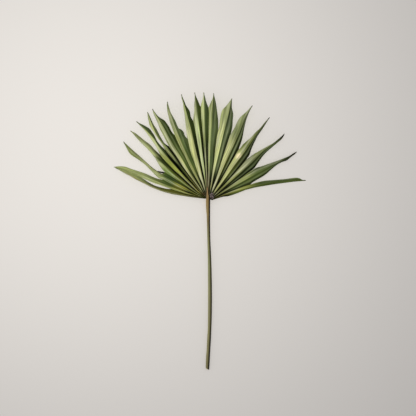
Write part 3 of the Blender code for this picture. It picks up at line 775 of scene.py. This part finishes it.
def add_segment(bm, layers, index):
    """Add one folded segment as a grid, with its colour, thickness and texture coordinates."""
    name = SEGMENTS[index][0]
    rows = segment_rows(index)
    columns, count = 2 * HALF_COLUMNS, FUSED_ROWS + FREE_ROWS
    grid = bmesh.ops.create_grid(bm, x_segments=columns, y_segments=count, size=1.0)["verts"]
    grain = {}
    for vert in grid:
        column = round((vert.co.x + 1) / 2 * columns)
        row = rows[round((vert.co.y + 1) / 2 * count)]
        point, side, share, across = fold_point(row, column, index)
        slope = math.hypot(1, 2 * row["depth"] / max(row["width"], NARROWEST_FOLD))
        vert[layers["sheet"]] = min(MOST_VERTICAL_SHEET, SHEET * slope)
        colour = fold_colour(name, side, share, row, point)
        vert[layers["tint"]] = (*colour, 1.0)
        # Pale streaks only on the half that faces the light: partly painted light.
        lit = hump(share, *SUNNY_ACROSS) if side == "left" else 0.0
        vert[layers["sun"]] = lit * ramp(colour[1], *SUNNY_TONES)
        point.z = max(point.z, vert[layers["sheet"]] - HUB.z)
        vert.co = point
        grain[vert] = (across + GRAIN_PITCH * index, row["reach"])
    for face in {face for vert in grid for face in vert.link_faces}:
        for loop in face.loops:
            loop[layers["grain"]].uv = Vector(grain[loop.vert]) * MM


GRID_POINTS = (FUSED_ROWS + FREE_ROWS + 1) * (2 * HALF_COLUMNS + 1)
print("a sheet", SHEET, "mm thick, with", GRID_POINTS, "points to a segment")

# %% [markdown]
# ## From segments to one sheet
# The grids are welded along the valleys that they share, the middle is closed, and the sheet gets
# its thickness by an extrusion moved straight down, so that the lower face can't cross the upper
# one. Faces point outwards after a recalculation, and the cut edge of the sheet stays sharp.

# %% Blade
WELD_REACH = 0.004
UNDERSIDE_SHARE = 0.55
print("points closer than", WELD_REACH, "mm are welded")


def close_hub(bm):
    """Fill the fan's middle from its inner rim to the hub's centre."""
    rim = []
    for edge in bm.edges:
        inside = [
            (vert.co.x / RIM_ACROSS) ** 2 + ((vert.co.y + RIM_BELOW) / RIM_ALONG) ** 2 < RIM_SLACK
            for vert in edge.verts
        ]
        if edge.is_boundary and all(inside):
            rim.append(edge)
    made = bmesh.ops.extrude_edge_only(bm, edges=rim)["geom"]
    inner = [item for item in made if isinstance(item, bmesh.types.BMVert)]
    bmesh.ops.pointmerge(bm, verts=inner, merge_co=(0.0, -RIM_BELOW, 0.0))


def thicken_down(bm, depth_of):
    """Put a lower face straight below an open sheet. Return its vertices and all but the side faces."""
    upper = set(bm.faces)
    lower = bmesh.ops.extrude_face_region(bm, geom=bm.faces[:], use_keep_orig=True)["geom"]
    below = [item for item in lower if isinstance(item, bmesh.types.BMVert)]
    for vert in below:
        vert.co.z -= depth_of(vert)
    bmesh.ops.recalc_face_normals(bm, faces=bm.faces[:])
    for face in bm.faces:
        face.smooth = True
    return below, upper.union(item for item in lower if isinstance(item, bmesh.types.BMFace))


def finished(bm, name, material):
    """Move a bmesh from hub millimetres to the frame's metres and make it an object."""
    bmesh.ops.translate(bm, vec=HUB, verts=bm.verts)
    bmesh.ops.scale(bm, vec=(MM, MM, MM), verts=bm.verts)
    piece = as_object(bm, name, material)
    LIT_LEAF.objects.link(piece)
    piece.data.calc_loop_triangles()
    print(name, len(piece.data.loop_triangles), "triangles")
    return piece


def build_blade(material):
    """The whole pleated blade as one thin closed sheet."""
    bm = bmesh.new()
    layers = {
        "sheet": bm.verts.layers.float.new("sheet"),
        "tint": bm.verts.layers.float_color.new("tint"),
        "sun": bm.verts.layers.float.new("sun"),
        "grain": bm.loops.layers.uv.new("grain"),
    }
    for index in range(len(SEGMENTS)):
        add_segment(bm, layers, index)
    bmesh.ops.remove_doubles(bm, verts=bm.verts, dist=WELD_REACH)
    close_hub(bm)
    bmesh.ops.triangulate(bm, faces=bm.faces[:])
    bmesh.ops.recalc_face_normals(bm, faces=bm.faces[:])
    below, flat = thicken_down(bm, lambda vert: vert[layers["sheet"]])
    for vert in below:
        vert[layers["tint"]] = (*mixed(vert[layers["tint"]][:3], UNDERSIDE, UNDERSIDE_SHARE), 1.0)
    for face in bm.faces:
        if face not in flat:
            for edge in face.edges:
                edge.smooth = False
    return finished(bm, "pleated_blade", material)


# %% [markdown]
# ## The blade's finish
# The colour attribute gives the broad changes. Over it the shader lays streaks that run along each
# segment. They come from a noise texture on the segment's own coordinates, squeezed across and
# stretched along, which is how fibres look in any leaf with parallel veins. The same streaks
# lift the surface a little and change how dull it is. The nodes that both the blade and the stalk
# need are made by helpers.

# %% Helpers for streaked finishes
NOISE_LOW, NOISE_HIGH = 0.3, 0.7
STREAK_DETAIL = 4.0
BUMP_HEIGHT = 0.3 * MM


def streaks(tree, source, scale, detail=STREAK_DETAIL):
    """Noise on the given coordinates, stretched by an uneven scale."""
    mapping = tree.nodes.new("ShaderNodeMapping")
    mapping.inputs["Scale"].default_value = scale
    texture = tree.nodes.new("ShaderNodeTexNoise")
    texture.inputs["Scale"].default_value = 1.0
    texture.inputs["Detail"].default_value = detail
    tree.links.new(source, mapping.inputs["Vector"])
    tree.links.new(mapping.outputs["Vector"], texture.inputs["Vector"])
    return texture.outputs["Fac"]


def spread(tree, value, low, high):
    """Bring a noise value's middle range to the given limits."""
    node = tree.nodes.new("ShaderNodeMapRange")
    node.inputs["From Min"].default_value = NOISE_LOW
    node.inputs["From Max"].default_value = NOISE_HIGH
    node.inputs["To Min"].default_value = low
    node.inputs["To Max"].default_value = high
    tree.links.new(value, node.inputs["Value"])
    return node.outputs["Result"]


def blend_colours(tree, kind, factor, first, second):
    """A colour mix node. Its factor and colours are sockets to link or plain values."""
    node = tree.nodes.new("ShaderNodeMix")
    node.data_type = "RGBA"
    node.blend_type = kind
    sockets = (node.inputs[0], node.inputs[6], node.inputs[7])
    for socket, value in zip(sockets, (factor, first, second)):
        if isinstance(value, bpy.types.NodeSocket):
            tree.links.new(value, socket)
        else:
            socket.default_value = value
    return node.outputs[2]


def times(tree, colour, by):
    """A colour multiplied by a value or by another colour."""
    return blend_colours(tree, "MULTIPLY", 1.0, colour, by)


def add_bump(tree, shader, height, strength):
    """Link a height value to the shader's normal."""
    node = tree.nodes.new("ShaderNodeBump")
    node.inputs["Strength"].default_value = strength
    node.inputs["Distance"].default_value = BUMP_HEIGHT
    tree.links.new(height, node.inputs["Height"])
    tree.links.new(node.outputs["Normal"], shader.inputs["Normal"])


def attribute(tree, name, output):
    """A mesh attribute as a shader value."""
    node = tree.nodes.new("ShaderNodeAttribute")
    node.attribute_name = name
    return node.outputs[output]


def product(tree, first, second):
    """The product of two shader values."""
    node = tree.nodes.new("ShaderNodeMath")
    node.operation = "MULTIPLY"
    tree.links.new(first, node.inputs[0])
    tree.links.new(second, node.inputs[1])
    return node.outputs["Value"]


print("noise from", NOISE_LOW, "to", NOISE_HIGH, "is spread over each streak's own limits")

# %% [markdown]
# ## The blade's material and the blade
# Fine streaks are the single fibres, broad ones the bundles. A slow cloud turns some places yellow,
# and wide pale streaks lighten only the halves that face the light, where an attribute marks them:
# partly the leaf's own pale fibres and partly painted light.

# %% Dried leaf material
LEAF_GLOSS = (0.6, 0.07)
FINE_FIBRES, FINE_CONTRAST = (1300.0, 22.0, 1.0), (0.66, 1.32)
BROAD_FIBRES, BROAD_CONTRAST = (270.0, 12.0, 1.0), (0.48, 1.46)
LIT_PALE_FIBRES, LIT_PALE_SHARE = (170.0, 14.0, 1.0), (-0.35, 0.6)
YELLOW_CLOUDS, YELLOW_SHARE = (45.0, 45.0, 45.0), (0.1, 0.7)
YELLOWED = (1.06, 1.0, 0.84, 1.0)
LEAF_ROUGHNESS = (0.48, 0.68)
LEAF_BUMP = 0.35
SOFT_DETAIL, CLOUD_DETAIL = 2.0, 3.0


def dried_leaf():
    """Matt leaf with streaks along its fibres."""
    material, tree, shader = new_material("dried_leaf", *LEAF_GLOSS)
    coordinates = tree.nodes.new("ShaderNodeUVMap")
    coordinates.uv_map = "grain"
    grain = coordinates.outputs["UV"]
    fine = streaks(tree, grain, FINE_FIBRES)
    broad = streaks(tree, grain, BROAD_FIBRES, SOFT_DETAIL)
    wide = streaks(tree, grain, LIT_PALE_FIBRES, CLOUD_DETAIL)
    place = tree.nodes.new("ShaderNodeTexCoord")
    cloudy = streaks(tree, place.outputs["Object"], YELLOW_CLOUDS, CLOUD_DETAIL)
    colour = times(tree, attribute(tree, "tint", "Color"), spread(tree, fine, *FINE_CONTRAST))
    colour = times(tree, colour, spread(tree, broad, *BROAD_CONTRAST))
    yellowed = times(tree, colour, YELLOWED)
    colour = blend_colours(tree, "MIX", spread(tree, cloudy, *YELLOW_SHARE), colour, yellowed)
    # Pale streaks where the halves face the light: partly painted light.
    lit_paling = product(tree, spread(tree, wide, *LIT_PALE_SHARE), attribute(tree, "sun", "Fac"))
    colour = blend_colours(tree, "MIX", lit_paling, colour, (*PALE_FLECK, 1.0))
    tree.links.new(colour, shader.inputs["Base Color"])
    tree.links.new(spread(tree, broad, *LEAF_ROUGHNESS), shader.inputs["Roughness"])
    add_bump(tree, shader, fine, LEAF_BUMP)
    return material


blade = build_blade(dried_leaf())
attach(blade, "root")
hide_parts("fan_blade")

# %% [markdown]
# ## The stalk
# The stalk is a long loft: one ring of vertices is extruded from station to station. Its section is
# a blunt gable above and a round belly below, with faint ribs along it. The tongue that lies on
# the pleats and the rib beneath them are lofts too. They are joined by a Boolean, as in the
# solid, and a wedge frees the slot in which the blade's hub lies.

# %% Stalk dimensions
# The stalk: how far each station is from the hub, its place across, its height and its width. The
# tongue and the rib have a lower and an upper height instead of one.
STALK = [
    (-406, -1.5, -7.3, 8.2),
    (-396, -0.9, -7.3, 8.6),
    (-375, 0.1, -7.2, 9.0),
    (-355, 1.4, -6.9, 8.5),
    (-334, 2.5, -6.6, 8.8),
    (-305, 3.9, -6.2, 8.4),
    (-277, 4.5, -5.9, 9.0),
    (-231, 4.8, -5.3, 9.2),
    (-184, 4.4, -4.7, 8.8),
    (-137, 3.4, -4.0, 7.8),
    (-102, 2.1, -3.4, 7.2),
    (-67, 1.4, -2.8, 7.4),
    (-45, 1.0, -2.4, 8.0),
    (-28, 0.3, -2.0, 9.6),
    (-12, 0.1, -1.7, 10.2),
    (4, 0.0, -1.5, 9.4),
]
TONGUE = [
    (-22, 0.2, -2.5, 2.4, 9.0),
    (-14, 0.1, -1.5, 2.8, 9.8),
    (-7, 0.0, 0.2, 3.1, 9.8),
    (0, -0.3, 1.0, 3.4, 8.0),
    (6, -0.7, 1.6, 3.8, 6.2),
    (12, -1.1, 2.2, 4.3, 4.6),
    (18, -1.5, 2.8, 4.8, 3.2),
    (23, -1.7, 3.3, 5.1, 1.6),
]
RIB = [
    (-24, 0.2, -5.4, -0.5, 8.4),
    (-6, 0.1, -5.6, -1.2, 8.2),
    (12, -0.2, -5.0, -1.0, 6.6),
    (35, -0.8, -3.9, -0.8, 4.6),
    (58, -1.6, -2.4, -0.9, 2.2),
]
STALK_DEPTH = 0.88
STALK_SIDES = 40
STALK_STEP, TONGUE_STEP = 3.0, 2.0
GABLE = 1.25
STALK_RIBS, STALK_RIB_RELIEF, STALK_RIB_TURN = 13, 0.012, 60
DENTS, DENT_LENGTH = 0.02, 18
SHARP_EDGE = math.radians(42)
END_SLANT = 0.55
END_TRIM = 2.0
SLOT_START, SLOT_END, SLOT_WIDTH = -7.7, 90.0, 40.0
SLOT_TOP = (1.65, 0.095)
SLOT_BOTTOM = (-2.0, 0.02)
print("stalk", STALK[-1][0] - STALK[0][0], "mm long and up to", max(row[3] for row in STALK), "mm wide")

# %% [markdown]
# ## Lofts
# A loft needs its sections at even steps, so the few stations above are joined by smooth curves
# first. Each ring of the loft is extruded from the last and moved onto the next section.

# %% Stations, sections and lofts
STATION_STEPS = 6


def stations(rows, step):
    """Rows of (y, ...) at even steps along a smooth curve through them."""
    knots = [(Vector(row[:3]), Vector((*row[3:], 0, 0)[:3])) for row in rows]
    firsts = smooth_line([a for a, _ in knots], STATION_STEPS)
    lasts = smooth_line([b for _, b in knots], STATION_STEPS)
    course = [(*a, *b) for a, b in zip(firsts, lasts)]
    low, high = rows[0][0], rows[-1][0]
    count = max(1, round((high - low) / step))
    found, i = [], 0
    for k in range(count + 1):
        y = low + (high - low) * k / count
        while i < len(course) - 2 and course[i + 1][0] < y:
            i += 1
        t = (y - course[i][0]) / (course[i + 1][0] - course[i][0])
        found.append([a + (b - a) * t for a, b in zip(course[i], course[i + 1])][:len(rows[0])])
    return found


def stalk_section(x, y, bottom, top, width):
    """One cross-section: a blunt gable above, a round belly below and faint ribs all round."""
    middle = (bottom + top) / 2
    points = []
    for side in range(STALK_SIDES):
        angle = 2 * math.pi * side / STALK_SIDES
        across, up = math.cos(angle), math.sin(angle)
        power = GABLE if up > 0 else 1.0
        swell = 1 + STALK_RIB_RELIEF * math.sin(STALK_RIBS * angle + y / STALK_RIB_TURN)
        swell += DENTS * noise.noise(Vector((2 * across, y / DENT_LENGTH, 2 * up)))
        points.append((
            x + swell * width / 2 * math.copysign(abs(across) ** power, across),
            y,
            max(middle + swell * (top - bottom) / 2 * math.copysign(abs(up) ** power, up), -HUB.z),
        ))
    return points


def loft(sections):
    """A closed tube through cross-sections, by extruding one ring from the last."""
    bm = bmesh.new()
    ring = bmesh.ops.create_circle(bm, cap_ends=False, radius=1.0, segments=STALK_SIDES)["verts"]
    edges = bm.edges[:]
    ring.sort(key=lambda vert: math.atan2(vert.co.y, vert.co.x) % (2 * math.pi))
    for number, points in enumerate(sections):
        if number:
            made = bmesh.ops.extrude_edge_only(bm, edges=edges)["geom"]
            edges = [item for item in made if isinstance(item, bmesh.types.BMEdge)]
            fresh = {vert for edge in edges for vert in edge.verts}
            ring = [
                next(edge.other_vert(vert) for edge in vert.link_edges if edge.other_vert(vert) in fresh)
                for vert in ring
            ]
        for vert, point in zip(ring, points):
            vert.co = point
    bmesh.ops.holes_fill(bm, edges=bm.edges[:], sides=0)
    bmesh.ops.recalc_face_normals(bm, faces=bm.faces[:])
    return bm


print("stations of the tongue", len(stations(TONGUE, TONGUE_STEP)))

# %% [markdown]
# ## Joining the stalk
# The lower end is cut at a slant, as with shears. Booleans then add the tongue and the rib and take
# away the slot. Their helper objects are removed at the end, so only the finished piece stays.

# %% Stalk
print("the slot starts at", SLOT_START, "mm from the hub and the rib ends at", RIB[-1][0], "mm")


def cut_the_end(bm):
    """Cut the stalk's lower end at a slant and close it."""
    cut = bmesh.ops.bisect_plane(
        bm,
        geom=bm.verts[:] + bm.edges[:] + bm.faces[:],
        plane_co=(STALK[0][1], STALK[0][0] + END_TRIM, 0.0),
        plane_no=(-END_SLANT, -1.0, 0.0),
        clear_outer=True,
    )["geom_cut"]
    edges = [item for item in cut if isinstance(item, bmesh.types.BMEdge)]
    bmesh.ops.contextual_create(bm, geom=edges)
    bmesh.ops.recalc_face_normals(bm, faces=bm.faces[:])


def slot_wedge():
    """The wedge between tongue and rib."""
    bm = bmesh.new()
    bmesh.ops.create_cube(bm, size=1.0)
    for vert in bm.verts:
        y = SLOT_START if vert.co.y < 0 else SLOT_END
        base, slope = SLOT_TOP if vert.co.z > 0 else SLOT_BOTTOM
        vert.co = (vert.co.x * SLOT_WIDTH, y, base + slope * y)
    bmesh.ops.recalc_face_normals(bm, faces=bm.faces[:])
    return bm


def build_stalk(material):
    """Stalk, tongue and rib in one closed mesh."""
    sections = []
    for y, x, z, width in stations(STALK, STALK_STEP):
        half = width * STALK_DEPTH / 2
        sections.append(stalk_section(x, y, z - half, z + half, width))
    bm = loft(sections)
    cut_the_end(bm)
    stalk = as_object(bm, "stalk_body")
    helpers = []
    for name, rows in (("tongue", TONGUE), ("under_rib", RIB)):
        course = stations(rows, TONGUE_STEP)
        shape = [stalk_section(x, y, low, high, width) for y, x, low, high, width in course]
        helpers.append((as_object(loft(shape), name), "UNION"))
    helpers.append((as_object(slot_wedge(), "slot"), "DIFFERENCE"))
    for helper, operation in helpers:
        modifier = stalk.modifiers.new(helper.name, "BOOLEAN")
        modifier.operation = operation
        modifier.object = helper
        modifier.solver = "EXACT"
    bpy.context.view_layer.update()
    evaluated = stalk.evaluated_get(bpy.context.evaluated_depsgraph_get())
    joined = bmesh.new()
    joined.from_mesh(evaluated.to_mesh())
    for helper in [stalk, *(helper for helper, _ in helpers)]:
        bpy.data.objects.remove(helper, do_unlink=True)
    for face in joined.faces:
        face.smooth = True
    for edge in joined.edges:
        edge.smooth = edge.calc_face_angle(0.0) < SHARP_EDGE
    course = stations(STALK, STALK_STEP)
    tongue = stations(TONGUE, TONGUE_STEP)
    course += [(y, x, width) for y, x, _, _, width in tongue if y > course[-1][0]]
    paint_stalk(joined, course)
    return finished(joined, "leaf_stalk", material)


# %% [markdown]
# ## The stalk's finish
# The stalk is tan at the hub and olive below. Its right flank, which turns away from the light, is
# painted dark brown as shade, and the left flank keeps the stalk's own tone. The colours are worked
# out from the place along the stalk and across it, and stretched noise makes the fibres.

# %% Stalk colours and material
# Along the stalk, in millimetres from the hub: the left flank's own tone and the right flank's darker tone,
# which is painted shade.
STALK_TONES = [
    (-406, (112, 105, 68), (26, 22, 12)),
    (-330, (122, 117, 76), (50, 44, 24)),
    (-250, (128, 124, 82), (62, 56, 28)),
    (-160, (126, 127, 84), (72, 68, 36)),
    (-90, (117, 113, 70), (62, 57, 30)),
    (-60, (108, 94, 54), (50, 42, 22)),
    (-30, (138, 117, 67), (40, 31, 15)),
    (-8, (150, 124, 74), (30, 22, 10)),
    (8, (164, 133, 84), (58, 43, 22)),
    (24, (186, 144, 96), (90, 66, 36)),
]
SHADED_FLANK_FROM, SHADED_FLANK_TO = 0.1, 0.5
SHOULDER = linear((62, 46, 22))
SHOULDER_FROM, SHOULDER_TO = 0.5, 0.85
SHOULDER_LOW, SHOULDER_HIGH = -12.0, 0.0
STALK_GLOSS = (0.5, 0.2)
STALK_FIBRES, STALK_CONTRAST = (1500.0, 14.0, 1500.0), (0.78, 1.16)
STALK_BANDS, BAND_CONTRAST = (260.0, 12.0, 260.0), (0.76, 1.18)
STALK_ROUGHNESS = (0.42, 0.62)
STALK_BUMP = 0.4


def stalk_tones(y):
    """The left flank's own tone and the right flank's painted shade at a height along the stalk."""
    for (low, *first), (high, *second) in zip(STALK_TONES, STALK_TONES[1:]):
        if y <= high:
            break
    t = max(0.0, min(1.0, (y - low) / (high - low)))
    return [mixed(linear(a), linear(b), t) for a, b in zip(first, second)]


def paint_stalk(bm, course):
    """Give each vertex its colour from its height along the stalk and its place across it."""
    tint = bm.verts.layers.float_color.new("tint")
    for vert in bm.verts:
        y = vert.co.y
        nearest = next((row for row in course if row[0] >= y), course[-1])
        across = (vert.co.x - nearest[1]) / (nearest[-1] / 2)
        pale, dark = stalk_tones(y)
        # The right flank is painted darker as shade.
        colour = mixed(pale, dark, ramp(across, SHADED_FLANK_FROM, SHADED_FLANK_TO))
        shoulder = ramp(-across, SHOULDER_FROM, SHOULDER_TO) * ramp(y, SHOULDER_LOW, SHOULDER_HIGH)
        vert[tint] = (*mixed(colour, SHOULDER, shoulder), 1.0)


def dried_stalk():
    """Fibrous stalk skin over the painted colours."""
    material, tree, shader = new_material("dried_stalk_skin", *STALK_GLOSS)
    place = tree.nodes.new("ShaderNodeTexCoord")
    fine = streaks(tree, place.outputs["Object"], STALK_FIBRES)
    broad = streaks(tree, place.outputs["Object"], STALK_BANDS, SOFT_DETAIL)
    colour = times(tree, attribute(tree, "tint", "Color"), spread(tree, fine, *STALK_CONTRAST))
    colour = times(tree, colour, spread(tree, broad, *BAND_CONTRAST))
    tree.links.new(colour, shader.inputs["Base Color"])
    tree.links.new(spread(tree, broad, *STALK_ROUGHNESS), shader.inputs["Roughness"])
    add_bump(tree, shader, fine, STALK_BUMP)
    return material


stalk = build_stalk(dried_stalk())
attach(stalk, "root")
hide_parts("petiole")

# %% [markdown]
# ## Small dry parts
# Where the stalk meets the blade, a papery scale has dried to a crumpled, purplish flap on the
# right of the tongue. A thin strip has curled up from the torn edge of the eighth segment on the
# left. The scale is a disc made from a square grid, with its height from ridged noise, and its
# pink is painted pale on the crests and nearly black in the creases, as light and shade on the
# crumples. The strip is a narrow grid along a short curve, painted nearly black as shade.

# %% Scale and curl
SCALE_CENTRE = (9.4, 1.6, 1.3)
SCALE_HALF = (5.0, 7.2)
SCALE_COLUMNS, SCALE_ROWS = 44, 60
SCALE_CREASES, SCALE_CREASE_SIZE = 1.6, 2.2
SCALE_FINE_SHARE, SCALE_FINE_LIT_CRESTS = 0.3, 0.7
SCALE_FLAT_EDGE, SCALE_EDGE_FROM = 0.4, 0.6
SCALE_THICKNESS = 0.25
SCALE_PALE = linear((216, 192, 190))
SCALE_CREASE_SHADE = linear((18, 12, 12))
SCALE_LIT_CRESTS = (0.75, 1.15)
SCALE_GLOSS = (0.7, 0.2)
CURL_COURSE = [(-102, 55.6, -1.2), (-107, 56.4, 0.6), (-112, 57.2, 1.6), (-118, 59.2, 0.4)]
CURL_WIDTH, CURL_NARROWS = 3.6, 0.5
CURL_STEPS, CURL_COLUMNS = 24, 4
CURL_EDGE_DROP = 0.5
CURL_THICKNESS = 0.3
CURL_GLOSS = (0.9, 0.0)


def painted(name, roughness, specular):
    """A plain material that shows the colour attribute."""
    material, tree, shader = new_material(name, roughness, specular)
    tree.links.new(attribute(tree, "tint", "Color"), shader.inputs["Base Color"])
    return material


def build_scale():
    """A crumpled papery disc beside the tongue."""
    bm = bmesh.new()
    tint = bm.verts.layers.float_color.new("tint")
    bmesh.ops.create_grid(bm, x_segments=SCALE_COLUMNS, y_segments=SCALE_ROWS, size=1.0)
    for vert in bm.verts:
        u, v = vert.co.x, vert.co.y
        x = SCALE_HALF[0] * u * math.sqrt(1 - v * v / 2)
        y = SCALE_HALF[1] * v * math.sqrt(1 - u * u / 2)
        spot = Vector((x, y, 0.0)) / SCALE_CREASE_SIZE
        crest = 1 - 2 * abs(noise.noise(spot))
        fine = noise.noise(3 * spot)
        inner = 1 - ramp(math.hypot(x / SCALE_HALF[0], y / SCALE_HALF[1]), SCALE_EDGE_FROM, 1.0)
        creased = SCALE_FLAT_EDGE + (1 - SCALE_FLAT_EDGE) * inner
        height = SCALE_CREASES * (crest**2 - 0.5 + SCALE_FINE_SHARE * fine) * creased
        vert.co = Vector((x, y, height)) + Vector(SCALE_CENTRE)
        # Pale on the crests and nearly black in the creases: painted light and shade on the crumples.
        lit_crest = ramp(crest + SCALE_FINE_LIT_CRESTS * fine, *SCALE_LIT_CRESTS)
        vert[tint] = (*mixed(SCALE_CREASE_SHADE, SCALE_PALE, lit_crest), 1.0)
    thicken_down(bm, lambda vert: SCALE_THICKNESS)
    return finished(bm, "papery_scale", painted("dried_scale_lit_and_shaded", *SCALE_GLOSS))


def build_curl():
    """A thin torn strip that rises from the blade and bends back to it."""
    bm = bmesh.new()
    tint = bm.verts.layers.float_color.new("tint")
    line = along(smooth_line(CURL_COURSE), CURL_STEPS)
    bmesh.ops.create_grid(bm, x_segments=CURL_COLUMNS, y_segments=CURL_STEPS, size=1.0)
    for vert in bm.verts:
        step = round((vert.co.y + 1) / 2 * CURL_STEPS)
        ahead = line[min(step + 1, CURL_STEPS)] - line[max(step - 1, 0)]
        across = Vector((-ahead.y, ahead.x, 0.0)).normalized()
        width = CURL_WIDTH * (1 - CURL_NARROWS * ramp(step / CURL_STEPS, 0.5, 1.0))
        fall = Vector((0.0, 0.0, -CURL_EDGE_DROP * abs(vert.co.x)))
        vert.co = line[step] + across * vert.co.x * width / 2 + fall
        # The whole strip is painted nearly black as shade.
        vert[tint] = (*CURL_SHADE, 1.0)
    thicken_down(bm, lambda vert: CURL_THICKNESS)
    return finished(bm, "torn_curl", painted("shaded_curl", *CURL_GLOSS))


for piece, slot in ((build_scale(), "leaf_stalk"), (build_curl(), "leaf_blade")):
    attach(piece, "root")

# %% [markdown]
# ## Fibres at the cut
# A palm stalk is full of stiff fibres. The cut leaves some of them standing a little out of the
# slanted face, so short tapered spikes are scattered over it with a seeded draw.

# %% Cut fibres
FIBRE_COUNT = 26
FIBRE_LENGTH = (0.8, 2.4)
FIBRE_RADIUS = 0.16
FIBRE_SIDES = 5
FIBRE_TILT = 0.25
FIBRE_SPREAD = 0.8
FIBRE_COLOUR = linear((206, 190, 146))
FIBRE_GLOSS = (0.7, 0.2)
CUT_SEED = 4


def build_fibres():
    """Short spikes over the slanted cut."""
    bm = bmesh.new()
    tint = bm.verts.layers.float_color.new("tint")
    draw = random.Random(CUT_SEED)
    y, x, z, width = STALK[0]
    for _ in range(FIBRE_COUNT):
        turn = draw.uniform(0, 2 * math.pi)
        far = math.sqrt(draw.random()) * FIBRE_SPREAD * width / 2
        across, up = far * math.cos(turn), far * math.sin(turn) * STALK_DEPTH
        length = draw.uniform(*FIBRE_LENGTH)
        tilt = Matrix.Rotation(draw.uniform(-FIBRE_TILT, FIBRE_TILT), 4, "Z")
        lean = Matrix.Rotation(math.pi / 2 + draw.uniform(-FIBRE_TILT, FIBRE_TILT), 4, "X")
        root = Vector((x + across, y + END_TRIM - END_SLANT * across, z + up))
        spike = bmesh.ops.create_cone(
            bm,
            cap_ends=True,
            segments=FIBRE_SIDES,
            radius1=FIBRE_RADIUS,
            radius2=FIBRE_RADIUS / 4,
            depth=2 * length,
        )["verts"]
        bmesh.ops.transform(bm, matrix=Matrix.Translation(root) @ tilt @ lean, verts=spike)
        for vert in spike:
            vert[tint] = (*FIBRE_COLOUR, 1.0)
    bmesh.ops.recalc_face_normals(bm, faces=bm.faces[:])
    return finished(bm, "cut_fibres", painted("pale_fibre", *FIBRE_GLOSS))


fibres = build_fibres()
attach(fibres, "root")
